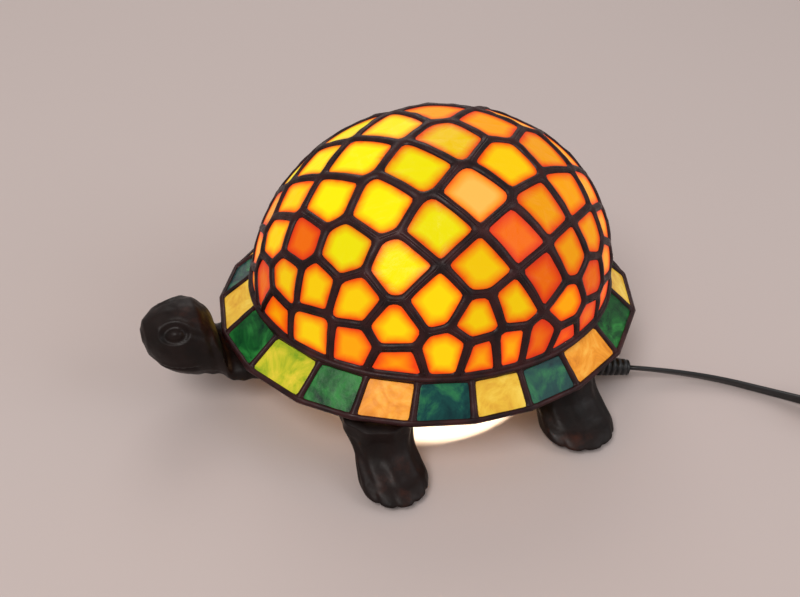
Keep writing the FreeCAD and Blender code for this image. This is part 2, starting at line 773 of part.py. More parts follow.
def make_socket():
    tube = ring("nipple_radius", "nipple_bore", "nipple_back + nipple_front", "-nipple_back")
    sub_part("socket_nipple", tube, ON_AXIS, BULB_AXIS)
    nuts = []
    for start in ("-bracket_thick - washer_thick - nut_thick", "socket_wall"):
        nut = cut(
            primitive("Prism", (0, 0, start), Polygon="6", Circumradius="nut_radius", Height="nut_thick"),
            cylinder("nipple_radius + nipple_gap", "3 * nut_thick", (0, 0, f"{start} - nut_thick")),
        )
        nuts.append(nut)
    sub_part("socket_nuts", group(*nuts), ON_AXIS, BULB_AXIS)
    washer = ring("nut_radius", "nipple_radius + nipple_gap", "washer_thick", "-bracket_thick - washer_thick")
    sub_part("socket_washer", washer, ON_AXIS, BULB_AXIS)
    cup = cut(
        cylinder("socket_radius", "cap_depth"),
        cylinder("socket_radius - socket_wall", "cap_depth", (0, 0, "socket_wall")),
        cylinder("nipple_radius + nipple_gap", "3 * socket_wall", (0, 0, "-socket_wall")),
    )
    sub_part("socket_cap", cup, ON_AXIS, BULB_AXIS)
    terminal_holes = [
        cylinder("1", "spigot_depth", (f"0 {side} terminal_place", 0, "cap_depth - spigot_depth"))
        for side in ("-", "+")
    ]
    body = cut(
        fuse(
            cylinder("socket_radius", "socket_depth - cap_depth", (0, 0, "cap_depth")),
            cylinder("socket_radius - socket_wall - 0.1", "spigot_depth", (0, 0, "cap_depth - spigot_depth")),
        ),
        cylinder("shell_radius + 0.1", "socket_depth", (0, 0, "socket_floor")),
        cylinder("1", "socket_floor", (0, 0, "cap_depth - spigot_depth - 1")),
        *terminal_holes,
    )
    sub_part("socket_body", body, ON_AXIS, BULB_AXIS)
    shell = cut(
        cylinder("shell_radius", "shell_depth", (0, 0, "socket_floor")),
        cylinder("shell_radius - shell_wall", "shell_depth", (0, 0, "socket_floor + shell_wall")),
        cylinder("contact_radius + 0.5", "3 * shell_wall", (0, 0, "socket_floor - shell_wall")),
    )
    sub_part("socket_screw_shell", shell, ON_AXIS, BULB_AXIS)
    contact = fuse(
        cylinder("contact_radius", "contact_thick", (0, 0, "socket_floor")),
        cylinder("1", "socket_floor - cap_depth + spigot_depth + 1", (0, 0, "cap_depth - spigot_depth - 1")),
    )
    sub_part("socket_contact", contact, ON_AXIS, BULB_AXIS)
    terminals = []
    for side in ("-", "+"):
        spot = (f"0 {side} terminal_place", 0)
        terminals.append(fuse(
            cylinder("1", "spigot_depth", (*spot, "cap_depth - spigot_depth")),
            cylinder("2", "1.4", (*spot, "cap_depth - spigot_depth - 1.4")),
        ))
    sub_part("terminal_screws", group(*terminals), ON_AXIS, BULB_AXIS)


def ahead(distance):
    """A spot on the bulb's axis, a distance in front of the bracket."""
    return f"bracket_place - ({distance})", 0, "bulb_height"


def make_bulb():
    insulator_at = "bulb_tip + tip_thick"
    cap_at = f"{insulator_at} + insulator_thick"
    glass_at = f"{cap_at} + bulb_cap_length"
    neck_radius = "bulb_cap_radius - bulb_cap_wall"
    neck_bore = f"{neck_radius} - glass_wall"
    neck_at = f"{glass_at} - 6"
    stem_top = "globe_place - 14"
    tip = cylinder("contact_radius", "tip_thick")
    sub_part("bulb_tip_contact", tip, ahead("bulb_tip"), BULB_AXIS)
    insulator = cone("contact_radius + 0.4", "bulb_cap_radius - 0.8", "insulator_thick")
    sub_part("bulb_insulator", insulator, ahead(insulator_at), BULB_AXIS)
    cap = cut(
        cylinder("bulb_cap_radius", "bulb_cap_length", (0, 0, cap_at)),
        cylinder(neck_radius, "bulb_cap_length", (0, 0, f"{cap_at} + bulb_cap_wall")),
    )
    sub_part("bulb_cap", cap, ON_AXIS, BULB_AXIS)
    shoulder = "globe_radius * 0.8"
    shoulder_at = "globe_place - globe_radius * 0.6"
    outer = fuse(
        cylinder(neck_radius, "6", (0, 0, neck_at)),
        cone(neck_radius, shoulder, f"{shoulder_at} - ({glass_at})", (0, 0, glass_at)),
        sphere("globe_radius", (0, 0, "globe_place")),
    )
    inner = fuse(
        cylinder(neck_bore, "7", (0, 0, f"{neck_at} - 0.5")),
        cone(neck_bore, f"{shoulder} - glass_wall", f"{shoulder_at} - ({glass_at})", (0, 0, glass_at)),
        sphere("globe_radius - glass_wall", (0, 0, "globe_place")),
    )
    sub_part("bulb_glass", cut(outer, inner), ON_AXIS, BULB_AXIS)
    stem = cone(neck_bore, "1.6", f"{stem_top} - ({neck_at})")
    sub_part("bulb_stem", stem, ahead(neck_at), BULB_AXIS)
    supports = [
        cylinder("0.25", "14.2", (f"0 {side} 0.9", 0, stem_top), Rotation(Vector(0, 1, 0), lean))
        for side, lean in (("-", -16), ("+", 16))
    ]
    sub_part("filament_supports", group(*supports), ON_AXIS, BULB_AXIS)
    filament = primitive("Torus", Radius1="filament_radius", Radius2="0.35", Angle3="180")
    sub_part("bulb_filament", filament, ahead("globe_place"), BULB_AXIS * Rotation(Vector(1, 0, 0), 90))


# ---------------------------------------------------------------- the cord and what is on it

def rounded_path(points, printed=None):
    """Straight runs joined by tangent arcs, each arc as large as its two runs allow."""
    edges, at = [], points[0]
    for before, corner, after in zip(points, points[1:], points[2:]):
        back, ahead = before - corner, after - corner
        half = (math.pi - back.getAngle(ahead)) / 2
        taken = 0.45 * min(back.Length, ahead.Length)
        if printed:
            print(f"{printed}: arc radius {taken / math.tan(half):.1f} mm")
        start = corner + back.normalize() * taken
        end = corner + ahead.normalize() * taken
        inward = (back + ahead).normalize()
        middle = corner + inward * taken * (1 / math.cos(half) - 1) / math.tan(half)
        edges += [Part.LineSegment(at, start).toShape(), Part.Arc(start, middle, end).toShape()]
        at = end
    edges.append(Part.LineSegment(at, points[-1]).toShape())
    return Part.Wire(edges)


def tube(points, radius, printed=None):
    """A round tube along rounded runs, checked against its section times its length."""
    path = rounded_path([Vector(*p) for p in points], printed)
    start, first = Vector(*points[0]), Vector(*points[1])
    section_wire = Part.Wire([Part.Circle(start, first - start, radius).toShape()])
    solid = path.makePipeShell([section_wire], True, False)
    expected = math.pi * radius ** 2 * path.Length
    if abs(solid.Volume - expected) > 0.01 * expected:
        raise RuntimeError(f"tube volume {solid.Volume:.0f}, expected {expected:.0f}")
    if printed:
        print(f"{printed}: {path.Length:.1f} mm long")
    return solid


def from_turn(turn, along, across=0.0):
    """A step along and across a heading below the +X axis, in degrees."""
    angle = math.radians(-turn)
    return Vector(math.cos(angle) * along - math.sin(angle) * across,
                  math.sin(angle) * along + math.cos(angle) * across, 0)


def relief_end():
    drop = math.radians(size.outlet_drop)
    outlet = Vector(size.outlet_x, -size.outlet_y, size.outlet_height)
    flat = from_turn(size.outlet_turn, size.relief_length * math.cos(drop))
    return outlet + flat - Vector(0, 0, size.relief_length * math.sin(drop))


def switch_end(way):
    centre = Vector(size.switch_centre_x, -size.switch_centre_y, size.switch_cord_height)
    return centre + from_turn(size.switch_turn, way * size.switch_length / 2)


def coil_point(radius, angle, height):
    turned = math.radians(angle)
    return Vector(size.coil_centre_x + radius * math.cos(turned),
                  -size.coil_centre_y + radius * math.sin(turned), height)


def make_cord():
    """The cord's three stretches, its coil and the tie round the coil."""
    entry = switch_end(1) + from_turn(size.switch_turn, COIL_REACH)
    upper_turn = size.coil_lift + 3 * size.cord_radius
    leaving = coil_point(size.coil_outer_radius - 1.2 * size.cord_radius, 10, upper_turn)
    plug = Vector(size.plug_place_x, -size.plug_place_y, size.plug_cord_height)
    routes = {
        "cord_to_switch": [relief_end(), *CORD_BEGIN, switch_end(-1)],
        "cord_to_coil": [switch_end(1), entry],
        "cord_to_plug": [leaving, *CORD_END, plug],
    }
    for name, points in routes.items():
        shaped(name, tube(points, size.cord_radius, name))
    low = "coil_lift"
    spot = ("coil_centre_x", "-coil_centre_y")
    coil = cut(cylinder("coil_outer_radius", "coil_height", (*spot, low)),
               cylinder("coil_inner_radius", "3 * coil_height", (*spot, "-coil_height")))
    sub_part("cord_coil", coil)
    wide = "coil_outer_radius - coil_inner_radius"
    left, inside = "coil_centre_x - tie_width / 2", "coil_inner_radius - coil_centre_y"
    tie = cut(
        box("tie_width", f"{wide} + 2", "coil_height + 2 * coil_lift", (left, f"{inside} - 1", "0")),
        box("3 * tie_width", f"{wide} + 0.3", "coil_height", (f"{left} - tie_width", f"{inside} - 0.2", low)),
    )
    sub_part("cord_tie", tie)


def make_relief():
    """The tapered strain relief, moulded on the cord, and the two leads from it to the socket."""
    relief = fuse(
        cylinder("outlet_hole + 1.5", "1.6", (0, 0, "-outlet_wall - 1.6")),
        cylinder("outlet_hole - 0.1", "outlet_wall + 0.4", (0, 0, "-outlet_wall - 0.2")),
        cone("outlet_hole", "relief_end_radius", "relief_length"),
    )
    turn = Rotation(Vector(0, 0, 1), -size.outlet_turn) * Rotation(Vector(0, 1, 0), 90 + size.outlet_drop)
    sub_part("cord_strain_relief", relief, ("outlet_x", "-outlet_y", "outlet_height"), turn)
    outlet = Vector(size.outlet_x, -size.outlet_y, size.outlet_height)
    start = outlet + (outlet - relief_end()).normalize() * (size.outlet_wall + 1.6)
    leads = []
    for side in (-1, 1):
        apart = 1.2 * side
        shift = Vector(0, apart, 0)
        terminal_x = size.bracket_place - size.cap_depth + size.spigot_depth + 2.8
        route = [start + shift]
        route += [Vector(*p) + shift for p in LEAD_ROUTE]
        route += [
            Vector(size.bracket_place + size.nipple_back - 2, apart, size.bulb_height),
            Vector(size.bracket_place - size.nipple_front - 1, apart, size.bulb_height),
            Vector(terminal_x, apart, size.bulb_height + side * (size.terminal_place - 2)),
        ]
        leads.append(tube(route, size.wire_radius))
    shaped("inner_leads", Part.Compound(leads))


SWITCH_SPOT = ("switch_centre_x", "-switch_centre_y", 0)
SCREW_PLACES = ("-16", "16")


def switch_half(low, high, cavity_low, cavity_high, hub_low):
    """One half shell of the switch: its walls, necks, screw posts and the hub under or over the wheel."""
    half, wide = "switch_length / 2", "switch_width / 2"
    tall = f"{high} - ({low})"
    walls = fuse(
        box("switch_length - 8", "switch_width", tall, (f"4 - {half}", f"-{wide}", low)),
        box("switch_length", "11", tall, (f"-{half}", "-5.5", low)),
    )
    cavity = box("switch_length - 12 - 2 * switch_wall", "switch_width - 2 * switch_wall",
                 f"{cavity_high} - ({cavity_low})",
                 (f"6 + switch_wall - {half}", f"switch_wall - {wide}", cavity_low))
    posts = [cylinder("3.2", tall, (place_x, 0, low)) for place_x in SCREW_PLACES]
    hub_height = "switch_seam - wheel_thick / 2 - wheel_gap - switch_wall"
    hub = cylinder("axle_radius + 1.3", hub_height, (0, "wheel_shift", hub_low))
    wheel_slot = cylinder("wheel_radius + wheel_gap", "wheel_thick + 2 * wheel_gap",
                          (0, "wheel_shift", "switch_seam - wheel_thick / 2 - wheel_gap"))
    axle_bore = cylinder("axle_radius + axle_gap", "switch_height - 2", (0, "wheel_shift", "1"))
    screw_bores = [cylinder("1.1", "switch_height", (place_x, 0, "2")) for place_x in SCREW_PLACES]
    head_bores = [cylinder("2.3", "3", (place_x, 0, "switch_height - 2.2")) for place_x in SCREW_PLACES]
    return cut(fuse(cut(walls, cavity), *posts, hub), wheel_slot, axle_bore, *screw_bores, *head_bores)


def make_switch():
    """The inline switch: two half shells, thumbwheel on its axle, screws and contacts."""
    turn = Rotation(Vector(0, 0, 1), -size.switch_turn)
    lower = switch_half("0", "switch_seam", "switch_wall", "switch_seam", "switch_wall")
    sub_part("switch_base", lower, SWITCH_SPOT, turn)
    upper = switch_half("switch_seam", "switch_height", "switch_seam", "switch_height - switch_wall",
                        "switch_seam + wheel_thick / 2 + wheel_gap")
    sub_part("switch_cover", upper, SWITCH_SPOT, turn)
    wheel = cut(cylinder("wheel_radius", "wheel_thick"),
                cylinder("axle_radius + axle_gap", "3 * wheel_thick", (0, 0, "-wheel_thick")))
    aside = from_turn(size.switch_turn, 0, 1)
    wheel_spot = (f"switch_centre_x + {aside.x:.6f} * wheel_shift",
                  f"{aside.y:.6f} * wheel_shift - switch_centre_y")
    sub_part("switch_wheel", wheel, (*wheel_spot, "switch_seam - wheel_thick / 2"), turn)
    sub_part("switch_axle", cylinder("axle_radius", "switch_height - 2.5"), (*wheel_spot, "1.2"), turn)
    screws = [
        fuse(cylinder("1", "switch_height - 4.7", (place_x, 0, "2.5")),
             cylinder("2", "1.6", (place_x, 0, "switch_height - 2.2")))
        for place_x in SCREW_PLACES
    ]
    sub_part("switch_screws", group(*screws), SWITCH_SPOT, turn)
    contacts = [box("6", "3", "0.6", (start, "-7", "switch_wall")) for start in ("-12", "6")]
    sub_part("switch_contacts", group(*contacts), SWITCH_SPOT, turn)


def make_plug():
    """A two-blade plug: a body that tapers to the cord, and its blades."""
    turn = Rotation(Vector(0, 0, 1), size.plug_turn)
    spot = ("plug_place_x", "-plug_place_y", "plug_cord_height")
    body = fuse(
        box("plug_length * 0.55", "plug_width", "plug_height",
            ("plug_length * 0.45", "-plug_width / 2", "-plug_height / 2")),
        cone("cord_radius + 0.8", "plug_height / 2", "plug_length * 0.45", (0, 0, 0), ALONG_X),
    )
    rounded = doc.addObject("Part::Fillet", "Rounded")
    rounded.Base = body
    doc.recompute()
    across = [
        (number, 2.5, 2.5) for number, edge in enumerate(body.Shape.Edges, 1)
        if edge.Curve.TypeId == "Part::GeomLine" and edge.BoundBox.XLength > 0.5 * size.plug_length
        and max(abs(edge.BoundBox.YMin), abs(edge.BoundBox.YMax)) > 0.49 * size.plug_width
    ]
    rounded.Edges = across
    sub_part("plug_body", rounded, spot, turn)
    blades = [
        box("blade_length", "blade_thick", "blade_width",
            ("plug_length", f"{side} blade_pitch / 2 - blade_thick / 2", "-blade_width / 2"))
        for side in ("-", "")
    ]
    sub_part("plug_blades", group(*blades), spot, turn)


# ---------------------------------------------------------------- build, check and write

def faults(item):
    """What is wrong with an object, or nothing."""
    if "Invalid" in item.State or "Error" in item.State:
        return f"{item.Label}: {item.State}"
    if item in sub_parts and (item.Shape.isNull() or not item.Shape.isValid()):
        return f"{item.Label}: its shape is null or invalid"
    return ""


make_shade()
make_base()
make_bracket()
make_socket()
make_bulb()
make_relief()
make_cord()
make_switch()
make_plug()
doc.recompute()

found = [text for text in map(faults, doc.Objects) if text]
if found:
    raise RuntimeError("; ".join(found))
os.makedirs("parts", exist_ok=True)
for item in sub_parts:
    item.Shape.exportStep(f"parts/{item.Label}.step")
print(len(sub_parts), "sub-parts")
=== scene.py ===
"""The looks of a stained-glass turtle lamp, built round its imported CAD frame.

Shapes are worked out in millimetres about the shade's own centre, and become metres in the lamp's frame in
mesh_object() and spot(). The shade's, head's and legs' sizes come from the frame's boxes.
"""
import math
import random

import bmesh
import bpy
from mathutils import Matrix, Vector, noise


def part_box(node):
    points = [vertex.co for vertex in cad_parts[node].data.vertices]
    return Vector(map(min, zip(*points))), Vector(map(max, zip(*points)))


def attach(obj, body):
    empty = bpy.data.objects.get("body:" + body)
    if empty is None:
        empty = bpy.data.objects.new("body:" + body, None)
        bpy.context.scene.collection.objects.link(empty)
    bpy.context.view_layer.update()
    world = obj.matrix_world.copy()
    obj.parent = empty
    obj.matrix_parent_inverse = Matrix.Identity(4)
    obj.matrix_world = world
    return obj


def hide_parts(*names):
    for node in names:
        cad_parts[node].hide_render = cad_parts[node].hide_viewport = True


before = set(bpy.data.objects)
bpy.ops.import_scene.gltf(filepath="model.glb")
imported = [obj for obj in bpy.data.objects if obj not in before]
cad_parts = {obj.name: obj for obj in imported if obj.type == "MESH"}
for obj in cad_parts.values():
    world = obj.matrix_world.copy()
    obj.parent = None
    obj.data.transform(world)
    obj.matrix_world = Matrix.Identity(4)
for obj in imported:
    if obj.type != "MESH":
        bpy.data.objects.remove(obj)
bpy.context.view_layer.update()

MM = 0.001
random.seed(7)


def node_box(node):
    """A node's lowest and highest corners, in millimetres."""
    return [Vector(corner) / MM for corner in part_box(node)]


# ---------------------------------------------------------------- sizes from the frame

RIM_LOW, RIM_HIGH = node_box("rim_came")
BEAD_LOW, BEAD_HIGH = node_box("waist_bead")
SHADE_X = (RIM_LOW.x + RIM_HIGH.x) / 2
BEAD_PROUD = 1.6
RIM_HALF = ((RIM_HIGH.x - RIM_LOW.x) / 2, (RIM_HIGH.y - RIM_LOW.y) / 2)
WAIST_HALF = ((BEAD_HIGH.x - BEAD_LOW.x) / 2 - BEAD_PROUD, (BEAD_HIGH.y - BEAD_LOW.y) / 2 - BEAD_PROUD)
RIM_Z = RIM_LOW.z
WAIST_Z = (BEAD_LOW.z + BEAD_HIGH.z) / 2
DOME_RISE = node_box("dome_solder")[1].z - WAIST_Z
DOME_LEAN = 3.0
SHELL_DEPTH = 4.6
DOME_FOOT = 1.0
LEAD_WIDTH = {"dome": 4.3, "skirt": 3.3}
ROUNDING = {"dome": 14, "skirt": 30}
GLASS_COVER = 1.2
GLASS_THICK = 2.6
LEAD_SINK = 1.7
LEAD_BEVEL = ((0, 0.6), (0.45, 0.15), (1, 0))
LEAD_SHARES = (1, 0.7, 0.4, 0.15, 0)
PANE_SHARES = (1.0, 0.95, 0.88, 0.78, 0.62, 0.4, 0.18)
SAMPLE_STEP = 1.9

# The dome's glass: azimuth about the shade's centre and latitude on the dome, in degrees.
DOME_GLASS = {
    "yellow": [
        (150, 73), (-134, 67), (-179, 61), (136, 56), (-142, 52), (159, 48), (-114, 48), (-167, 47),
        (-147, 36), (-126, 35), (147, 36),
    ],
    "amber": [
        (-110, 80), (-67, 66), (172, 38), (-98, 36), (98, 36), (180, 27), (-112, 26), (112, 26),
        (-137, 23), (137, 23), (-88, 23), (88, 23), (-152, 23), (-165, 20), (-99, 20), (99, 20),
        (-124, 17), (124, 17), (-108, 10), (108, 10), (-149, 8), (149, 8), (173, 3), (114, 48),
        (126, 35), (25, 38), (-9, 14), (25, 16),
    ],
    "orange": [
        (-8, 78), (91, 78), (-28, 60), (-8, 48), (22, 63), (-66, 48), (66, 48), (-44, 47), (44, 47),
        (-25, 38), (-47, 31), (47, 31), (-62, 31), (62, 31), (-32, 27), (160, 26), (-40, 18), (40, 18),
        (-68, 16), (68, 16), (167, 14), (-90, 9), (90, 9), (-135, 9), (135, 9), (-97, 8), (97, 8),
        (-122, 5), (122, 5), (-166, 6), (62, 64), (8, 37), (-16, 26), (16, 26), (-25, 16), (8, 14),
        (-15, 5), (15, 5),
    ],
    "red": [
        (-83, 43), (83, 43), (-166, 32), (-76, 28), (76, 28), (-54, 19), (54, 19), (-177, 11),
        (-79, 8), (79, 8), (-44, 6), (44, 6), (-58, 6), (58, 6), (-69, 4), (69, 4), (0, 25), (32, 27),
        (-30, 6), (0, 5), (30, 6),
    ],
    # The two pale pieces are a painted highlight: the room light's reflection on the dome, drawn as paler
    # glowing glass.
    "pale": [(-97, 58), (97, 58)],
}

# The skirt's glass in order round the rim: each piece's colour and the azimuth at which it ends.
SKIRT_START = -180
SKIRT_GLASS = [
    ("green", -163), ("lime", -144.5), ("green", -129.5), ("amber", -115), ("teal", -100),
    ("cream", -85.5), ("teal", -70.5), ("amber", -52), ("green", -30.5), ("cream", -12), ("green", 4),
    ("amber", 20), ("teal", 36), ("cream", 52), ("green", 68), ("amber", 83), ("teal", 98),
    ("lime", 113), ("green", 129), ("amber", 146), ("teal", 162), ("cream", 180),
]

# The cord, in millimetres about the shade's centre: the same points as its CAD tubes.
CORD_WIDE = 5.6
CORD_THICK = 2.5
RELIEF_END = (77.57, -57.49, 7.44)
CORD_BEGIN = [(94.8, -62.2, 4.8), (118.5, -74.6, 2.8), (134.5, -89.0, 2.8)]
SWITCH_CENTRE = (167.1, -123.6, 4.2)
SWITCH_TURN = 47.0
SWITCH_LENGTH = 54.0
COIL_CENTRE = (231.3, -147.0)
COIL_RADIUS = 35.7
COIL_PITCH = 2.5
COIL_START = -137
COIL_TURNS = 7 + 147 / 360
COIL_LAYERS = (4.0, 9.7)
COIL_POINTS = 16
CORD_END = [(267.1, -125.1, 6.6), (262.4, -98.5, 6.6)]
# The flat cord leaves the lamp leaning at an angle in degrees, and stands on edge after a length in metres.
CORD_LEAN = 40
UPRIGHT_AFTER = 0.11
CORD_SIDES = 20


# ---------------------------------------------------------------- mesh helpers

def spot(point):
    """A point in millimetres about the shade's centre, in the lamp's frame in metres."""
    return (Vector(point) + Vector((SHADE_X, 0, 0))) * MM


def mesh_object(name, points, faces, material, body, replaced=(), slot=None, values=None, weld=None):
    """A mesh object from points in millimetres, riding on a body in place of CAD nodes."""
    mesh = bpy.data.meshes.new(name)
    mesh.from_pydata([spot(point) for point in points], [], faces)
    for title, numbers in (values or {}).items():
        mesh.attributes.new(title, "FLOAT", "POINT").data.foreach_set("value", numbers)
    built = bmesh.new()
    built.from_mesh(mesh)
    if weld:
        bmesh.ops.remove_doubles(built, verts=built.verts, dist=weld * MM)
    bmesh.ops.recalc_face_normals(built, faces=built.faces)
    built.to_mesh(mesh)
    built.free()
    mesh.materials.append(material)
    mesh.shade_smooth()
    item = bpy.data.objects.new(name, mesh)
    bpy.context.scene.collection.objects.link(item)
    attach(item, body)
    if replaced:
        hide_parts(*replaced)
    return item


def bridge(faces, lower, upper, closed=True):
    """Quads between two rows of point numbers."""
    count = len(lower)
    for here in range(count if closed else count - 1):
        there = (here + 1) % count
        faces.append((lower[here], lower[there], upper[there], upper[here]))


def tube_mesh(rows):
    """Points and faces of a closed tube through rows of points, with a fan at each end."""
    points, faces, numbers = [], [], []
    for row in rows:
        numbers.append(range(len(points), len(points) + len(row)))
        points += row
    for lower, upper in zip(numbers, numbers[1:]):
        bridge(faces, lower, upper)
    for row, end in ((rows[0], numbers[0]), (rows[-1], numbers[-1])):
        points.append(sum((Vector(p) for p in row), Vector()) / len(row))
        centre = len(points) - 1
        faces += [(end[i], end[(i + 1) % len(end)], centre) for i in range(len(end))]
    return points, faces


def ring_mesh(rows):
    """Points and faces of a closed ring through rows of points."""
    points = [point for row in rows for point in row]
    count, faces = len(rows[0]), []
    for number in range(len(rows)):
        after = (number + 1) % len(rows)
        bridge(faces, range(number * count, (number + 1) * count), range(after * count, (after + 1) * count))
    return points, faces


# ---------------------------------------------------------------- materials

def material(name, colour, roughness, metallic=0.0, **more):
    """A material whose constant values sit on the Principled shader's own sockets."""
    made = bpy.data.materials.new(name)
    made.use_nodes = True
    shader = made.node_tree.nodes["Principled BSDF"]
    shader.inputs["Base Color"].default_value = (*colour, 1)
    shader.inputs["Roughness"].default_value = roughness
    shader.inputs["Metallic"].default_value = metallic
    for title, value in more.items():
        shader.inputs[title.replace("_", " ").title().replace("Ior", "IOR")].default_value = value
    return made


def add_node(made, kind, **settings):
    item = made.node_tree.nodes.new(f"ShaderNode{kind}")
    for title, value in settings.items():
        if title in item.inputs:
            item.inputs[title].default_value = value
        else:
            setattr(item, title, value)
    return item


def link(made, source, target):
    made.node_tree.links.new(source, target)


def texture(made, kind, scale, **settings):
    """A texture in the lamp's own frame, so that its grain keeps its size: scale is features a metre."""
    place = add_node(made, "TexCoord")
    item = add_node(made, f"Tex{kind}", Scale=scale, **settings)
    link(made, place.outputs["Object"], item.inputs["Vector"])
    return item


def ramp(made, source, stops):
    item = add_node(made, "ValToRGB")
    for element, (position, colour) in zip(item.color_ramp.elements, (stops[0], stops[-1])):
        element.position = position
        element.color = (*colour, 1)
    for position, colour in stops[1:-1]:
        item.color_ramp.elements.new(position).color = (*colour, 1)
    link(made, source, item.inputs["Fac"])
    return item.outputs["Color"]


def shader_of(made):
    return made.node_tree.nodes["Principled BSDF"]


def bumped(made, source, strength, distance):
    """Raise the surface by a texture, after any bump that is there already."""
    item = add_node(made, "Bump", Strength=strength, Distance=distance * MM)
    link(made, source, item.inputs["Height"])
    normal = shader_of(made).inputs["Normal"]
    if normal.is_linked:
        link(made, normal.links[0].from_socket, item.inputs["Normal"])
    link(made, item.outputs["Normal"], normal)


def varied(made, title, scale, stops, **settings):
    """A shader input that varies over the surface with a noise texture."""
    grain = texture(made, "Noise", scale, **settings)
    colours = [(place, colour if isinstance(colour, tuple) else (colour,) * 3) for place, colour in stops]
    link(made, ramp(made, grain.outputs["Fac"], colours), shader_of(made).inputs[title])


# In the dome glass's painted glow, how far the swirls move the colours' borders, and the distance from the
# lead, in millimetres, at which the glow's colour ramp ends.
SWIRL_SHIFT = 2.2
HEART_AT = 9


def toned_glow(made, glow, spread):
    """Painted glow: emission that differs from pane to pane by a share of its strength."""
    tone = add_node(made, "Attribute", attribute_name="tone")
    power = add_node(made, "Math", operation="MULTIPLY_ADD")
    link(made, tone.outputs["Fac"], power.inputs[0])
    power.inputs[1].default_value = spread * glow
    power.inputs[2].default_value = glow
    link(made, power.outputs[0], shader_of(made).inputs["Emission Strength"])


def lit_glass(name, heart, middle, fringe, glow):
    """Glass with a painted glow standing in for the bulb's light from behind:
    brightest in each piece's middle and redder towards its lead.
    """
    made = material(name, tuple(0.04 * part for part in middle), 0.3, ior=1.5, specular_ior_level=0.1)
    away = add_node(made, "Attribute", attribute_name="edge_distance")
    swirl = texture(made, "Noise", 85, Detail=4.0, Roughness=0.6, Distortion=0.8)
    shift = add_node(made, "Math", operation="MULTIPLY_ADD")
    link(made, swirl.outputs["Fac"], shift.inputs[0])
    shift.inputs[1].default_value = SWIRL_SHIFT
    link(made, away.outputs["Fac"], shift.inputs[2])
    share = add_node(made, "Math", operation="MULTIPLY")
    link(made, shift.outputs[0], share.inputs[0])
    share.inputs[1].default_value = 1 / HEART_AT
    stops = [(0.17, fringe), (0.33, middle), (0.56, heart), (0.98, heart)]
    link(made, ramp(made, share.outputs[0], stops), shader_of(made).inputs["Emission Color"])
    toned_glow(made, glow, 0.13)
    bumped(made, texture(made, "Noise", 230, Detail=2.0).outputs["Fac"], 0.35, 0.5)
    bumped(made, swirl.outputs["Fac"], 0.3, 1.5)
    return made


def marbled_glass(name, dark, mid, light, glow):
    """Opalescent glass that mostly shows the room's light, with pale streaks in its colour,
    and a painted glow in the same colours for the bulb's light through it.
    """
    made = material(name, mid, 0.26, ior=1.5, specular_ior_level=0.15)
    streaks = texture(made, "Noise", 60, Detail=5.0, Roughness=0.62, Distortion=1.6)
    colour = ramp(made, streaks.outputs["Fac"], [(0.32, dark), (0.5, mid), (0.68, light)])
    link(made, colour, shader_of(made).inputs["Base Color"])
    link(made, colour, shader_of(made).inputs["Emission Color"])
    toned_glow(made, glow, 0.2)
    bumped(made, texture(made, "Noise", 240, Detail=2.0).outputs["Fac"], 0.3, 0.5)
    return made


GLASS = {
    "yellow": lit_glass("glass_yellow", (0.97, 0.86, 0.003), (0.97, 0.5, 0.003), (0.92, 0.09, 0.004), 1.0),
    "amber": lit_glass("glass_amber", (0.97, 0.62, 0.003), (0.97, 0.33, 0.003), (0.9, 0.07, 0.004), 1.0),
    "orange": lit_glass("glass_orange", (0.96, 0.37, 0.003), (0.94, 0.19, 0.003), (0.84, 0.05, 0.006), 0.97),
    "red": lit_glass("glass_red", (0.93, 0.16, 0.004), (0.88, 0.085, 0.005), (0.74, 0.035, 0.008), 0.94),
    # The pale glass's colours paint the dome's highlight; they are not a paler glass.
    "pale": lit_glass("glass_pale", (0.93, 0.5, 0.09), (0.93, 0.34, 0.03), (0.88, 0.1, 0.01), 0.94),
}
SKIRT_COLOURS = {
    "green": marbled_glass("skirt_green", (0.002, 0.018, 0.008), (0.006, 0.065, 0.014), (0.02, 0.16, 0.03),
                           0.55),
    "teal": marbled_glass("skirt_teal", (0.003, 0.018, 0.022), (0.006, 0.045, 0.04), (0.02, 0.13, 0.05), 0.5),
    "cream": marbled_glass("skirt_cream", (0.55, 0.26, 0.025), (0.66, 0.4, 0.04), (0.74, 0.52, 0.08), 0.42),
    "amber": marbled_glass("skirt_amber", (0.5, 0.15, 0.012), (0.68, 0.25, 0.02), (0.8, 0.4, 0.06), 0.45),
    "lime": marbled_glass("skirt_lime", (0.12, 0.26, 0.01), (0.42, 0.42, 0.02), (0.66, 0.5, 0.04), 0.45),
}


def solder_material():
    made = material("dark_solder", (0.014, 0.004, 0.005), 0.48, 0.1, specular_ior_level=0.28)
    varied(made, "Base Color", 120, [(0.35, (0.01, 0.0018, 0.0025)), (0.7, (0.045, 0.0085, 0.009))],
           Detail=4.0)
    varied(made, "Roughness", 260, [(0.3, 0.34), (0.75, 0.6)], Detail=3.0)
    bumped(made, texture(made, "Noise", 420, Detail=3.0).outputs["Fac"], 0.4, 0.35)
    return made


def bronze_material(name, scales):
    """Dark bronze-finished casting, browner in random patches."""
    made = material(name, (0.01, 0.005, 0.004), 0.45, specular_ior_level=0.2)
    varied(made, "Base Color", 70,
           [(0.35, (0.005, 0.0025, 0.002)), (0.58, (0.011, 0.0048, 0.0038)), (0.74, (0.04, 0.012, 0.007))],
           Detail=5.0, Roughness=0.6)
    varied(made, "Roughness", 190, [(0.3, 0.36), (0.72, 0.58)], Detail=3.0)
    bumped(made, texture(made, "Noise", 520, Detail=4.0).outputs["Fac"], 0.25, 0.25)
    if scales:
        plates = texture(made, "Voronoi", scales, feature="DISTANCE_TO_EDGE")
        edges = ramp(made, plates.outputs["Distance"], [(0.0, (0, 0, 0)), (0.16, (1, 1, 1))])
        bumped(made, edges, 0.12, 0.25)
    return made


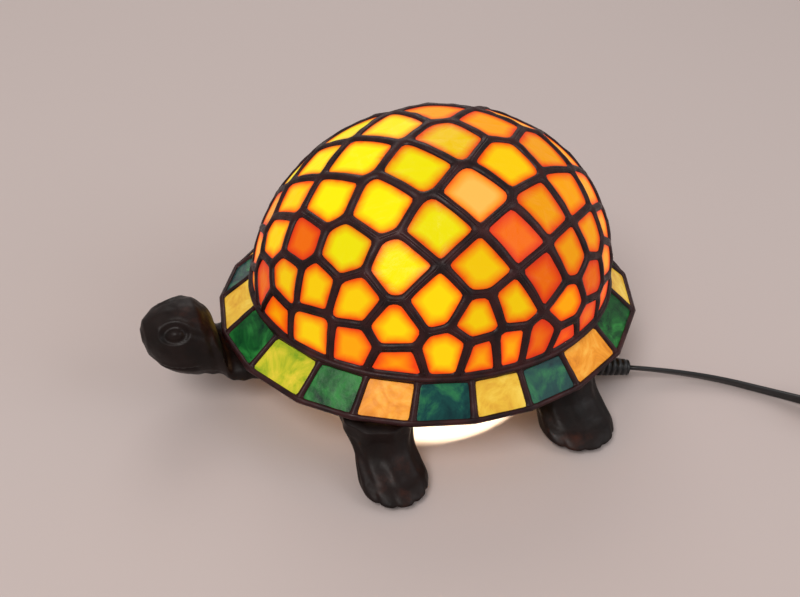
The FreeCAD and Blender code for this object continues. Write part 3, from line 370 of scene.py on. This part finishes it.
def plain_material(name, colour, roughness, metallic=0.0, grain=300, depth=0.1, **more):
    """A hard material with a fine surface grain and slightly uneven gloss."""
    made = material(name, colour, roughness, metallic, **more)
    varied(made, "Roughness", grain / 3, [(0.3, 0.85 * roughness), (0.75, min(1.0, 1.25 * roughness))])
    bumped(made, texture(made, "Noise", grain, Detail=3.0).outputs["Fac"], 0.2, depth)
    return made


SOLDER = solder_material()
BRONZE = bronze_material("bronze_casting", 0)
SKIN = bronze_material("bronze_skin", 190)
BRASS = plain_material("brass", (0.55, 0.36, 0.12), 0.3, 1.0)
STEEL = plain_material("steel", (0.55, 0.55, 0.54), 0.32, 1.0)
NICKEL = plain_material("nickel", (0.7, 0.68, 0.63), 0.24, 1.0)
PHENOLIC = plain_material("black_phenolic", (0.016, 0.015, 0.015), 0.32)
RUBBER = plain_material("pad_rubber", (0.02, 0.02, 0.02), 0.8, grain=900)
CORD_BLACK = plain_material("cord_black", (0.012, 0.012, 0.013), 0.4, grain=1400, depth=0.05)
SWITCH_BLACK = plain_material("switch_black", (0.014, 0.014, 0.015), 0.46, grain=1600, depth=0.08)
WIRE_WHITE = plain_material("lead_wire", (0.6, 0.6, 0.57), 0.45)
BLACK_GLASS = plain_material("bulb_black_glass", (0.01, 0.01, 0.01), 0.12)
BULB_GLASS = material("clear_glass", (1.0, 0.98, 0.95), 0.03, transmission_weight=1.0, ior=1.45)
varied(BULB_GLASS, "Roughness", 140, [(0.3, 0.01), (0.8, 0.06)])
FILAMENT = material("filament", (0.2, 0.15, 0.1), 0.4, 1.0)
shader_of(FILAMENT).inputs["Emission Color"].default_value = (1.0, 0.55, 0.2, 1)
shader_of(FILAMENT).inputs["Emission Strength"].default_value = 12.0


# ---------------------------------------------------------------- the leaded shell

def dome_point(azimuth, latitude, depth):
    """A point on the dome, the given depth under its outer surface."""
    east, north = math.radians(azimuth), math.radians(latitude)
    return Vector((
        (WAIST_HALF[0] - depth) * math.cos(north) * math.cos(east) + DOME_LEAN * math.sin(north),
        (WAIST_HALF[1] - depth) * math.cos(north) * math.sin(east),
        WAIST_Z + (DOME_RISE - depth) * math.sin(north),
    ))


def to_map(azimuth, latitude):
    """The dome's flat map: the top is the middle of a disc, and its edge is the waist."""
    radius = math.tan(math.radians((90 - latitude) / 2))
    return radius * math.cos(math.radians(azimuth)), radius * math.sin(math.radians(azimuth))


def map_point(x, y, depth):
    latitude = 90 - 2 * math.degrees(math.atan(math.hypot(x, y)))
    return dome_point(math.degrees(math.atan2(y, x)), latitude, depth)


def nearer_side(polygon, near, far):
    """The part of a convex polygon on the map that is nearer to one point than to another."""
    middle = ((near[0] + far[0]) / 2, (near[1] + far[1]) / 2)
    across = (far[0] - near[0], far[1] - near[1])
    kept = []
    for here, there in zip(polygon, polygon[1:] + polygon[:1]):
        a = (here[0] - middle[0]) * across[0] + (here[1] - middle[1]) * across[1]
        b = (there[0] - middle[0]) * across[0] + (there[1] - middle[1]) * across[1]
        if a <= 0:
            kept.append(here)
        if a * b < 0:
            share = a / (a - b)
            kept.append((here[0] + share * (there[0] - here[0]), here[1] + share * (there[1] - here[1])))
    return kept


def dome_cells():
    """Each dome glass piece's share of the map: its colour, corners, surface and millimetres a map unit."""
    lowest = math.degrees(math.asin(DOME_FOOT / DOME_RISE))
    edge = to_map(0, lowest)[0]
    seeds = [(colour, to_map(*place)) for colour, places in DOME_GLASS.items() for place in places]
    mirrored = []  # each seed's twin across the waist, so that the lowest row ends at the waist
    for _, (x, y) in seeds:
        beyond = 2 * edge / math.hypot(x, y) - 1
        mirrored.append((x * beyond, y * beyond))
    cells = []
    for colour, place in seeds:
        polygon = [(-edge, -edge), (edge, -edge), (edge, edge), (-edge, edge)]
        for other in [seed for _, seed in seeds if seed != place] + mirrored:
            polygon = nearer_side(polygon, place, other)
        scale = (WAIST_HALF[0] + WAIST_HALF[1]) / (1 + place[0] ** 2 + place[1] ** 2)
        cells.append((colour, polygon, map_point, scale))
    return cells


# The skirt's flat map: its whole slant length, the millimetres in a degree round it, and the slants
# between which its glass pieces lie.
SLANT = math.hypot(RIM_HALF[0] - WAIST_HALF[0], WAIST_Z - RIM_Z)
SKIRT_MM = math.radians(sum(RIM_HALF) / 2 * 0.93)
SKIRT_HIGH = 0.3
SKIRT_LOW = SLANT - 0.9


def skirt_corner(azimuth, slant, depth):
    """A point on the skirt: slant is the distance down it from the waist."""
    angle, share = math.radians(azimuth), slant / SLANT
    drop = (WAIST_Z - RIM_Z) / SLANT
    flare = math.sqrt(1 - drop * drop)
    half_x = WAIST_HALF[0] + share * (RIM_HALF[0] - WAIST_HALF[0]) - depth * drop
    half_y = WAIST_HALF[1] + share * (RIM_HALF[1] - WAIST_HALF[1]) - depth * drop
    height = WAIST_Z - slant * drop - depth * flare
    return Vector((half_x * math.cos(angle), half_y * math.sin(angle), height))


def skirt_cells():
    """Each skirt glass piece's share, on a flat facet between its two sides."""
    cells, begin = [], SKIRT_START
    for colour, end in SKIRT_GLASS:
        def facet(along, slant, depth, begin=begin, end=end):
            share = along / (SKIRT_MM * (end - begin))
            return skirt_corner(begin, slant, depth).lerp(skirt_corner(end, slant, depth), share)
        wide = SKIRT_MM * (end - begin)
        corners = [(0.0, SKIRT_HIGH), (wide, SKIRT_HIGH), (wide, SKIRT_LOW), (0.0, SKIRT_LOW)]
        cells.append((colour, corners, facet, 1.0))
        begin = end
    return cells


class Shell:
    """Gathers one sheet of leaded glass: its lead network, and its glass by colour."""

    def __init__(self, part):
        self.lead_width = LEAD_WIDTH[part]
        self.rounding = ROUNDING[part]
        self.lead = ([], [])
        self.glass = {}

    def add(self, colour, corners, surface, scale):
        """Add a cell. Its lead runs from its border in to its rounded glass, outside and inside."""
        centre = tuple(sum(corner[i] for corner in corners) / len(corners) for i in (0, 1))
        border = []
        for here, there in zip(corners, corners[1:] + corners[:1]):
            pieces = max(1, round(math.dist(here, there) * scale / SAMPLE_STEP))
            for piece in range(pieces):
                border.append(tuple(here[i] + (there[i] - here[i]) * piece / pieces for i in (0, 1)))
        inner = [self.reach(corners, centre, point, self.lead_width / 2 / scale) for point in border]

        def row(share, depth):
            places = [[a + (b - a) * share for a, b in zip(near, far)] for near, far in zip(inner, border)]
            return [surface(*place, depth) for place in places]

        outside = [row(share, LEAD_SINK * (1 - math.sqrt(1 - (1 - share) ** 2))) for share in LEAD_SHARES]
        inside = [row(share, SHELL_DEPTH - bevel) for share, bevel in LEAD_BEVEL]
        self.add_rows(self.lead, [[solder_wave(p) for p in line] for line in outside] + inside)
        self.add_glass(colour, row(0.25, GLASS_COVER), row(0.25, GLASS_COVER + GLASS_THICK))

    def reach(self, corners, centre, point, inset):
        """Where the rounded glass edge lies between a cell's centre and a point of its border."""
        way = (point[0] - centre[0], point[1] - centre[1])
        total = 0.0
        for here, there in zip(corners, corners[1:] + corners[:1]):
            length = math.dist(here, there)
            if length < 1e-9:
                continue
            normal = ((there[1] - here[1]) / length, (here[0] - there[0]) / length)
            room = normal[0] * (here[0] - centre[0]) + normal[1] * (here[1] - centre[1])
            normal = normal if room > 0 else (-normal[0], -normal[1])
            toward = normal[0] * way[0] + normal[1] * way[1]
            if toward > 0:
                total += (toward / max(abs(room) - inset, 0.25 * abs(room))) ** self.rounding
        share = total ** (-1 / self.rounding)
        return centre[0] + way[0] * share, centre[1] + way[1] * share

    @staticmethod
    def add_rows(mesh, rows):
        points, faces = mesh
        numbers = []
        for line in rows:
            numbers.append(range(len(points), len(points) + len(line)))
            points += line
        for lower, upper in zip(numbers, numbers[1:]):
            bridge(faces, lower, upper)

    def add_glass(self, colour, top, bottom):
        """A flat pane whose points carry their distance from its edge and the pane's own tone."""
        points, faces, away, tones = self.glass.setdefault(colour, ([], [], [], []))
        tone = random.uniform(-1, 1)
        start = len(points)
        rows = []
        for edge, shares in ((bottom, (0.3, 0.97)), (top, PANE_SHARES)):
            middle = sum(edge, Vector()) / len(edge)
            room = min((point - middle).length for point in edge)
            for share in shares:
                rows.append([middle.lerp(point, share) for point in edge])
                away += [room * (1 - share)] * len(edge)
        self.add_rows((points, faces), rows)
        count = len(top)
        for row, edge in ((0, bottom), (len(rows) - 1, top)):
            points.append(sum(edge, Vector()) / count)
            away.append(min((point - points[-1]).length for point in edge))
            first = start + row * count
            faces += [(first + i, first + (i + 1) % count, len(points) - 1) for i in range(count)]
        tones += [tone] * (len(points) - start)


def solder_wave(point):
    """Hand-laid solder: a point moved in or out a little, by its place only."""
    outward = Vector((point.x, point.y, max(point.z - WAIST_Z, 0.0))).normalized()
    return point + outward * 0.32 * (noise.noise(point * 0.22) - 0.45)


def closed_bottom(item, down):
    """Carry a mesh's open lower edge down, inside the bead."""
    built = bmesh.new()
    built.from_mesh(item.data)
    loose = [edge for edge in built.edges if edge.is_boundary]
    made = bmesh.ops.extrude_edge_only(built, edges=loose)["geom"]
    moved = [part for part in made if isinstance(part, bmesh.types.BMVert)]
    bmesh.ops.translate(built, verts=moved, vec=(0, 0, -down * MM))
    bmesh.ops.recalc_face_normals(built, faces=built.faces)
    built.to_mesh(item.data)
    built.free()


def make_leaded_sheets():
    """The dome's and the skirt's solder, and their glass by colour."""
    for part, cells, colours in (("dome", dome_cells(), GLASS), ("skirt", skirt_cells(), SKIRT_COLOURS)):
        sheet = Shell(part)
        for cell in cells:
            sheet.add(*cell)
        lead = mesh_object(f"{part}_lead", *sheet.lead, SOLDER, "shade", [f"{part}_solder"],
                           "dark_solder", weld=0.02)
        if part == "dome":
            closed_bottom(lead, 2.0)
        for colour, (points, faces, away, tones) in sheet.glass.items():
            mesh_object(f"{part}_panes_{colour}", points, faces, colours[colour], "shade",
                        [f"{part}_glass_{colour}"], f"glass_{colour}",
                        values={"edge_distance": away, "tone": tones})


BEAD_MIDDLE = (-2.4, 0.3)
BEAD_HALF = (3.2, 1.5)
BEAD_ROWS = 220
BEAD_SIDES = 20


def make_waist_bead():
    """A rounded ring of solder that covers the joint of the dome and the skirt."""
    rows = []
    for step in range(BEAD_ROWS):
        angle = 2 * math.pi * step / BEAD_ROWS
        row = []
        for turn in range(BEAD_SIDES):
            around = 2 * math.pi * turn / BEAD_SIDES
            across = math.copysign(abs(math.cos(around)) ** 0.7, math.cos(around))
            up = math.copysign(abs(math.sin(around)) ** 0.8, math.sin(around))
            out = BEAD_MIDDLE[0] + BEAD_HALF[0] * across
            lift = 0.2 * noise.noise(Vector((9 * math.cos(angle), 9 * math.sin(angle), around)))
            row.append(Vector((
                (WAIST_HALF[0] + out + lift) * math.cos(angle),
                (WAIST_HALF[1] + out + lift) * math.sin(angle),
                WAIST_Z + BEAD_MIDDLE[1] + (BEAD_HALF[1] + lift) * up,
            )))
        rows.append(row)
    mesh_object("waist_bead_ring", *ring_mesh(rows), SOLDER, "shade", ["waist_bead"], "dark_solder")


# The came's section: distance down the skirt from the rim, and depth under the skirt's surface.
CAME_SECTION = [
    (-2.5, 0.8), (-2.1, 0.15), (-1.2, 0.1), (-0.3, 0.2), (0.0, 1.2), (0.0, 3.2), (-0.3, 4.4), (-1.4, 4.8),
    (-2.4, 4.4), (-2.6, 3.0),
]
CAME_KNOB = 0.35


def make_rim_came():
    """The came round the rim: straight from piece to piece, with a knob of solder at each rib."""
    rows, begin = [], SKIRT_START
    for _, end in SKIRT_GLASS:
        for share in (0.0, 0.07, 0.14, 0.5, 0.86, 0.93):
            at_rib = share in (0.0, 0.07, 0.93)
            row = []
            for down, depth in CAME_SECTION:
                slant = SLANT + down
                here, there = (skirt_corner(azimuth, slant, depth) for azimuth in (begin, end))
                swell = CAME_KNOB if at_rib and down < -0.5 and depth < 1 else 0
                row.append(here.lerp(there, share) + Vector((0, 0, swell)))
            rows.append(row)
        begin = end
    mesh_object("rim_came_ring", *ring_mesh(rows), SOLDER, "shade", ["rim_came"], "dark_solder")


# ---------------------------------------------------------------- the turtle's head, legs and tail

# Sections of the head and neck: distance ahead of the shade's centre, height of the middle, half width,
# half height, and how square the section is (2 is an ellipse).
HEAD_SECTIONS = [
    (133.3, 38.2, 3.0, 3.2, 2.0), (131.8, 37.0, 7.0, 7.8, 2.0), (127.5, 35.2, 11.6, 12.6, 2.0),
    (122.0, 33.8, 14.4, 15.6, 2.0), (115.5, 32.8, 16.2, 17.4, 2.0), (109.5, 31.8, 16.6, 17.4, 2.0),
    (105.0, 28.8, 17.0, 14.6, 2.1), (102.4, 26.0, 17.4, 11.6, 2.3), (101.4, 22.2, 17.8, 6.4, 2.8),
    (98.9, 19.8, 18.4, 5.6, 3.0), (94.0, 19.7, 19.4, 5.6, 3.0), (82.2, 19.7, 20.8, 5.6, 3.0),
]
EYE = Vector((-120.5, 0, 43.8))


def blended(sections, place):
    """A section between the listed ones, on a smooth curve through them."""
    for number in range(len(sections) - 1):
        if sections[number][0] >= place >= sections[number + 1][0]:
            break
    before, after = sections[max(number - 1, 0)], sections[min(number + 2, len(sections) - 1)]
    here, there = sections[number], sections[number + 1]
    share = (here[0] - place) / (here[0] - there[0])
    values = []
    for a, b, c, d in zip(before, here, there, after):
        curve = 2 * b + (c - a) * share + (2 * a - 5 * b + 4 * c - d) * share ** 2
        values.append((curve + (3 * b - a - 3 * c + d) * share ** 3) / 2)
    return values


def hollow(distance, width):
    """A smooth bump of height 1 that fades over a width."""
    return math.exp(-(distance / width) ** 2)


def head_relief(point):
    """How far the head's carving stands out at a point of the plain head."""
    side = abs(point.y)
    eye_across = math.hypot((point.x - EYE.x) / 1.7, point.z - EYE.z - 0.12 * (point.x - EYE.x))
    on_side = 1 / (1 + math.exp(-(side - 6) * 1.5))
    raised = 0.0
    raised += on_side * 1.1 * hollow(eye_across, 1.7)
    raised -= on_side * 1.0 * hollow(eye_across - 2.6, 0.8)
    raised += on_side * 0.6 * hollow(eye_across - 3.9, 0.8)
    brow = point.z - (EYE.z + 3.4 - 0.03 * (point.x - EYE.x) ** 2)
    raised += on_side * 0.8 * hollow(brow, 1.2) * hollow(point.x - EYE.x - 3, 8)
    raised -= on_side * 0.5 * hollow(brow + 2.2, 0.7) * hollow(point.x - EYE.x - 9, 4)
    mouth = point.z - (29.0 - 0.16 * (point.x + 132) - 1.2 * math.sin((point.x + 132) / 4.5))
    raised -= 1.3 * hollow(mouth, 0.75) * hollow(max(point.x + 116, 0), 2.5)
    raised += 0.6 * hollow(mouth - 1.9, 1.2) * hollow(max(point.x + 118, 0), 3)
    nostril = math.hypot(point.x + 131.4, side - 2.9, point.z - 39.0)
    raised -= 1.3 * hollow(nostril, 1.0)
    fold = 0.3 * math.sin(1.0 * point.x + 0.12 * point.z) + 0.2 * noise.noise(point * 0.5)
    raised += fold * hollow(min(point.x + 106, 0), 5)
    raised += 0.25 * noise.noise(point * 0.28)
    return raised


HEAD_ROWS = 110
HEAD_SIDES = 112


def make_head():
    """The head and neck: sections close together at the nose, and the carving pushed out from them."""
    rows = []
    nose = HEAD_SECTIONS[0][0]
    for step in range(HEAD_ROWS + 1):
        place = nose - 51.1 * (step / HEAD_ROWS) ** 1.12
        _, height, half_width, half_height, squareness = blended(HEAD_SECTIONS, place)
        row = []
        for turn in range(HEAD_SIDES):
            angle = 2 * math.pi * turn / HEAD_SIDES
            across, up = math.cos(angle), math.sin(angle)
            shape = Vector((
                0,
                half_width * math.copysign(abs(across) ** (2 / squareness), across),
                half_height * math.copysign(abs(up) ** (2 / squareness), up),
            ))
            point = Vector((-place, 0, height)) + shape
            row.append(point + shape.normalized() * (head_relief(point) - 0.25))
        rows.append(row)
    mesh_object("turtle_head", *tube_mesh(rows), SKIN, "base", ["head"], "bronze_casting")


# Sections of a leg: share of the way down, how far out from the boss towards the foot, and its half width
# along and across the lamp as shares of the foot's.
LEG_SECTIONS = [
    (0.0, 0.0, 0.88, 0.86), (0.33, 0.33, 0.88, 0.74), (0.65, 0.7, 0.94, 0.88), (0.86, 0.97, 1.0, 1.0),
    (1.0, 1.0, 0.97, 0.97),
]
LEG_SPREAD = 21.0
FOOT_HALF_WIDTH = {"front": 15.0, "rear": 16.0}
LEG_TOP = 26.3
BOSS_TOP = 25.4
BOSS_HALF = 15.6
LEG_ROWS = 60
LEG_SIDES = 120
THIGH_LEAN = 5.0
TOE_GAPS = (-48, -16, 16, 48)


def leg_relief(degrees, down):
    """How far a leg's carving stands out: creases up the leg, and gaps between the toes on its foot."""
    foot = max(0.0, (down - 0.6) / 0.4)
    crease = 0.4 * math.cos(math.radians(9.5 * degrees) + 1.2 * math.sin(5 * down))
    crease += 0.2 * noise.noise(Vector((degrees * 0.06, down * 3, 0)))
    gap = sum(hollow(degrees - place, 4.5) for place in TOE_GAPS)
    knuckle = 0.45 * hollow(down - 0.72, 0.06) * (abs(degrees) < 70)
    return crease * (1 - foot) - 1.0 * gap * foot * hollow(down - 0.9, 0.2) + knuckle


def make_leg(name):
    """A leg: creased above, spreading into a rounded foot with toes on its outer side."""
    low, high = node_box(f"leg_{name}")
    side = -1 if "right" in name else 1
    half_x = (high.x - low.x) / 2
    half_y = FOOT_HALF_WIDTH[name.split("_")[0]]
    foot_x = (high.x + low.x) / 2 - SHADE_X
    foot_y = (high.y if side > 0 else -low.y) - half_y
    rows = []
    for step in range(LEG_ROWS + 1):
        height = LEG_TOP + (low.z - LEG_TOP) * step / LEG_ROWS
        down = max(0.0, (high.z - height) / (high.z - low.z))
        above = max(0.0, (height - BOSS_TOP) / (LEG_TOP - BOSS_TOP))
        _, out, share_x, share_y = blended([(-a, b, c, d) for a, b, c, d in LEG_SECTIONS], -down)
        rounded = math.sqrt(1 - 0.85 * above ** 2) - 0.16 * max(0.0, (down - 0.82) / 0.18) ** 2.5
        flare = max(0.0, 1 - down / 0.45) ** 1.5
        long = half_x * share_x * (1 - flare) + BOSS_HALF * flare
        wide = half_y * share_y * (1 - flare) + BOSS_HALF * flare
        row = []
        for turn in range(LEG_SIDES):
            angle = 2 * math.pi * turn / LEG_SIDES
            across, outward = math.sin(angle), math.cos(angle)
            scale = rounded + (leg_relief(math.degrees(math.atan2(across, outward)), down) - 0.3) / half_x
            row.append(Vector((
                foot_x + long * across * scale,
                side * (foot_y - LEG_SPREAD * (1 - out) - THIGH_LEAN * above + wide * outward * scale),
                height,
            )))
        rows.append(row)
    mesh_object(f"turtle_{name}_leg", *tube_mesh(rows), SKIN, "base", [f"leg_{name}"], "bronze_casting")


TAIL_HALF = 4.3
TAIL_HEIGHT = 15.4
TAIL_ROWS = 30
TAIL_SIDES = 28


def make_tail():
    """A short tail that tapers down under the rim."""
    low, high = node_box("tail")
    seat, tip = low.x - SHADE_X, high.x - SHADE_X
    rows = []
    for step in range(TAIL_ROWS + 1):
        share = step / TAIL_ROWS
        radius = TAIL_HALF * (1 - 0.78 * share) * (1 + 0.05 * math.sin(24 * share))
        place = seat + (tip - seat - 0.3) * share
        height = TAIL_HEIGHT - 3.6 * max(0.0, share - 0.25) ** 1.2
        row = []
        for turn in range(TAIL_SIDES):
            angle = 2 * math.pi * turn / TAIL_SIDES
            row.append(Vector((place, radius * math.cos(angle), height + radius * math.sin(angle) * 0.9)))
        rows.append(row)
    mesh_object("turtle_tail", *tube_mesh(rows), SKIN, "base", ["tail"], "bronze_casting")


# ---------------------------------------------------------------- the cord

def heading(turn, along):
    """A level step of a length, turned clockwise from the lamp's length by an angle in degrees."""
    angle = math.radians(-turn)
    return Vector((math.cos(angle) * along, math.sin(angle) * along, 0))


def cord_route():
    """The cord's control points, from the strain relief through the switch and the coil to the plug."""
    centre = Vector(SWITCH_CENTRE)
    route = [Vector(RELIEF_END), *(Vector(p) for p in CORD_BEGIN)]
    half = SWITCH_LENGTH / 2
    route += [centre + heading(SWITCH_TURN, along) for along in (-half, -9, 9, half)]
    route.append(centre + heading(SWITCH_TURN, half + 16))
    steps = round(COIL_TURNS * COIL_POINTS)
    middle = COIL_TURNS / 2
    for step in range(steps + 1):
        turns = COIL_TURNS * step / steps
        radius = COIL_RADIUS - COIL_PITCH * (middle - abs(turns - middle))
        climb = min(1.0, max(0.0, (turns - middle) * 2 + 0.5))
        angle = math.radians(COIL_START + 360 * turns)
        route.append(Vector((
            COIL_CENTRE[0] + radius * math.cos(angle),
            COIL_CENTRE[1] + radius * math.sin(angle),
            COIL_LAYERS[0] + (COIL_LAYERS[1] - COIL_LAYERS[0]) * climb,
        )))
    return route + [Vector(p) for p in CORD_END]


def smooth_line(route):
    """Points along the NURBS curve that has the route's points as its control points."""
    curve = bpy.data.curves.new("cord_line", "CURVE")
    curve.dimensions = "3D"
    spline = curve.splines.new("NURBS")
    spline.points.add(len(route) - 1)
    for point, place in zip(spline.points, route):
        point.co = (*spot(place), 1)
    spline.order_u = 3
    spline.use_endpoint_u = True
    spline.resolution_u = 6
    holder = bpy.data.objects.new("cord_line", curve)
    line = [vertex.co.copy() for vertex in bpy.data.meshes.new_from_object(holder).vertices]
    bpy.data.objects.remove(holder)
    return line


def make_cord():
    """The flat two-core cord: a figure-of-eight section that stands on edge from the switch on."""
    line = smooth_line(cord_route())
    rows, travelled = [], 0.0
    for number, point in enumerate(line):
        before, after = line[max(number - 1, 0)], line[min(number + 1, len(line) - 1)]
        tangent = (after - before).normalized()
        level = Vector((0, 0, 1)).cross(tangent).normalized()
        rise = tangent.cross(level)
        lean = math.radians(CORD_LEAN + (90 - CORD_LEAN) * min(1.0, travelled / UPRIGHT_AFTER))
        wide = rise * math.sin(lean) - level * math.cos(lean)
        thin = tangent.cross(wide)
        row = []
        for turn in range(CORD_SIDES):
            angle = 2 * math.pi * turn / CORD_SIDES
            waist = 1 - 0.22 * hollow(math.cos(angle), 0.3)
            row.append(point + wide * math.cos(angle) * CORD_WIDE / 2 * MM
                       + thin * math.sin(angle) * waist * CORD_THICK / 2 * MM)
        rows.append([p / MM - Vector((SHADE_X, 0, 0)) for p in row])
        travelled += (after - point).length
    cord = mesh_object("cord_flex", *tube_mesh(rows), CORD_BLACK, "base",
                       ["cord_to_switch", "cord_to_coil", "cord_to_plug", "cord_coil"], "cord_black")


RELIEF_FROM = (60.4, -52.8, 10.1)
RELIEF_LENGTH = 24.4
RELIEF_RIBS = 6
RIB_PITCH = 2.9
RELIEF_SIDES = 32


def make_strain_relief():
    """The ribbed taper that protects the cord where it leaves the base."""
    end = Vector(RELIEF_END)
    way = (end - Vector(RELIEF_FROM)).normalized()
    start = end - way * RELIEF_LENGTH
    level = Vector((0, 0, 1)).cross(way).normalized()
    rise = way.cross(level)
    stops = [(0.0, 6.3), (1.5, 6.3), (1.6, 4.9), (6.4, 4.9), (6.5, 5.0)]
    for rib in range(RELIEF_RIBS):
        near = 6.6 + RIB_PITCH * rib
        radius = 5.0 - 0.22 * rib
        stops += [(near, radius), (near + 1.6, radius)]
        stops += [(near + 1.8, radius - 0.9), (near + 2.7, radius - 0.95)]
    stops += [(RELIEF_LENGTH - 0.2, 3.7), (RELIEF_LENGTH, 3.2)]
    rows = []
    for along, radius in stops:
        row = []
        for turn in range(RELIEF_SIDES):
            angle = 2 * math.pi * turn / RELIEF_SIDES
            row.append(start + way * along + (level * math.cos(angle) + rise * math.sin(angle)) * radius)
        rows.append(row)
    return mesh_object("strain_relief", *tube_mesh(rows), CORD_BLACK, "base", ["cord_strain_relief"],
                       "cord_black")


# ---------------------------------------------------------------- materials of the CAD nodes that stay

CAD_MATERIALS = {
    "base_frame": BRONZE, "foot_pads": RUBBER, "leg_screws": STEEL, "head_screws": STEEL, "tail_screw": STEEL,
    "shade_tabs": BRASS, "socket_bracket": STEEL, "bracket_screws": STEEL, "socket_nipple": BRASS,
    "socket_nuts": BRASS, "socket_washer": STEEL, "socket_cap": PHENOLIC, "socket_body": PHENOLIC,
    "socket_screw_shell": NICKEL, "socket_contact": BRASS, "terminal_screws": BRASS,
    "inner_leads": WIRE_WHITE, "bulb_glass": BULB_GLASS, "bulb_cap": NICKEL,
    "bulb_insulator": BLACK_GLASS, "bulb_tip_contact": NICKEL,
    "bulb_stem": BULB_GLASS, "bulb_filament": FILAMENT, "filament_supports": STEEL, "cord_tie": SWITCH_BLACK,
    "switch_base": SWITCH_BLACK, "switch_cover": SWITCH_BLACK, "switch_wheel": SWITCH_BLACK,
    "switch_axle": STEEL, "switch_screws": STEEL, "switch_contacts": BRASS, "plug_body": SWITCH_BLACK,
    "plug_blades": BRASS,
}


def dress_cad_nodes():
    for node, made in CAD_MATERIALS.items():
        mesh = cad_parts[node].data
        mesh.materials.clear()
        mesh.materials.append(made)


# ---------------------------------------------------------------- floor, light and camera

FLOOR_COLOUR = (0.56, 0.48, 0.46)
FLOOR_HALF = 6.0
FLOOR_DROP = -0.0003


def make_floor():
    made = bpy.data.materials.new("floor")
    made.use_nodes = True
    shader = shader_of(made)
    shader.inputs["Base Color"].default_value = (*FLOOR_COLOUR, 1)
    shader.inputs["Roughness"].default_value = 0.95
    mesh = bpy.data.meshes.new("floor")
    corners = [(-1, -1), (1, -1), (1, 1), (-1, 1)]
    mesh.from_pydata([(x * FLOOR_HALF, y * FLOOR_HALF, FLOOR_DROP) for x, y in corners], [], [(0, 1, 2, 3)])
    mesh.materials.append(made)
    floor = bpy.data.objects.new("floor", mesh)
    bpy.context.scene.collection.objects.link(floor)


def area_light(name, place, aim, wide, power, colour):
    lamp = bpy.data.lights.new(name, "AREA")
    lamp.shape = "DISK"
    lamp.size = wide
    lamp.energy = power
    lamp.color = colour
    item = bpy.data.objects.new(name, lamp)
    item.location = place
    item.rotation_euler = (Vector(aim) - Vector(place)).to_track_quat("-Z", "Y").to_euler()
    bpy.context.scene.collection.objects.link(item)


def make_light():
    world = bpy.data.worlds.new("studio")
    bpy.context.scene.world = world
    world.use_nodes = True
    background = world.node_tree.nodes["Background"]
    background.inputs["Color"].default_value = (0.93, 0.9, 0.88, 1)
    background.inputs["Strength"].default_value = 0.42
    area_light("key", (-0.9, -0.7, 1.5), (0, 0, 0.04), 0.9, 17, (1.0, 0.96, 0.93))
    area_light("fill", (1.2, -0.9, 1.0), (0, 0, 0.04), 1.2, 7, (0.95, 0.97, 1.0))
    area_light("back", (0.3, 1.3, 1.2), (0, 0, 0.06), 1.0, 6, (1.0, 0.95, 0.92))
    make_bulb_light()


# The pool of light on the table: how far out its edge reaches, and how far across each half is centred.
POOL_RADIUS = 56
POOL_SHIFT = 16
POOL_X = -9


def make_bulb_light():
    """The bulb's light through the base's opening: a pool with a crisp edge, and a faint spill round it."""
    low, _ = node_box("bulb_glass")
    for side in (-1, 1):
        beam = bpy.data.lights.new("bulb_beam", "SPOT")
        beam.energy = 0.9
        beam.color = (1.0, 0.84, 0.6)
        beam.shadow_soft_size = 0.001
        beam.spot_size = 2 * math.atan(POOL_RADIUS / low.z)
        beam.spot_blend = 0.12
        item = bpy.data.objects.new("bulb_beam", beam)
        item.location = spot((POOL_X, side * POOL_SHIFT, low.z - 2))
        bpy.context.scene.collection.objects.link(item)
    spill = bpy.data.lights.new("bulb_spill", "POINT")
    spill.energy = 0.09
    spill.color = (1.0, 0.6, 0.32)
    spill.shadow_soft_size = 0.01
    item = bpy.data.objects.new("bulb_spill", spill)
    item.location = spot((POOL_X, 0, low.z - 4))
    bpy.context.scene.collection.objects.link(item)


# The camera, fitted to the photo: angles in degrees, and distances in millimetres about the point
# CAMERA_CENTRE above the shade's centre.
CAMERA_YAW = -23.53
CAMERA_HEIGHT = 37.26
CAMERA_ROLL = 3.02
CAMERA_DISTANCE = 403.16
CAMERA_AIM = (-14.19, -28.33)
CAMERA_LENS = 40.0
CAMERA_CENTRE = 60


def make_camera():
    yaw, up_angle, roll = (math.radians(v) for v in (CAMERA_YAW, CAMERA_HEIGHT, CAMERA_ROLL))
    level = math.cos(up_angle)
    back = Vector((math.sin(yaw) * level, -math.cos(yaw) * level, math.sin(up_angle)))
    right = Vector((math.cos(yaw), math.sin(yaw), 0))
    up = back.cross(right)
    aim = Vector((0, 0, CAMERA_CENTRE)) + right * CAMERA_AIM[0] + up * CAMERA_AIM[1]
    turned_right = right * math.cos(roll) + up * math.sin(roll)
    turned_up = up * math.cos(roll) - right * math.sin(roll)
    camera = bpy.data.cameras.new("camera")
    camera.lens = CAMERA_LENS
    camera.clip_start = 0.01
    camera.clip_end = 50
    item = bpy.data.objects.new("camera", camera)
    axes = Matrix((turned_right, turned_up, back)).transposed().to_4x4()
    item.matrix_world = Matrix.Translation(spot(aim + back * CAMERA_DISTANCE)) @ axes
    bpy.context.scene.collection.objects.link(item)
    bpy.context.scene.camera = item


make_camera()
make_light()
make_floor()
dress_cad_nodes()
make_leaded_sheets()
make_waist_bead()
make_rim_came()
make_head()
for leg in ("front_right", "front_left", "rear_right", "rear_left"):
    make_leg(leg)
make_tail()
relief = make_strain_relief()
make_cord()
bpy.context.scene.view_settings.view_transform = "Standard"
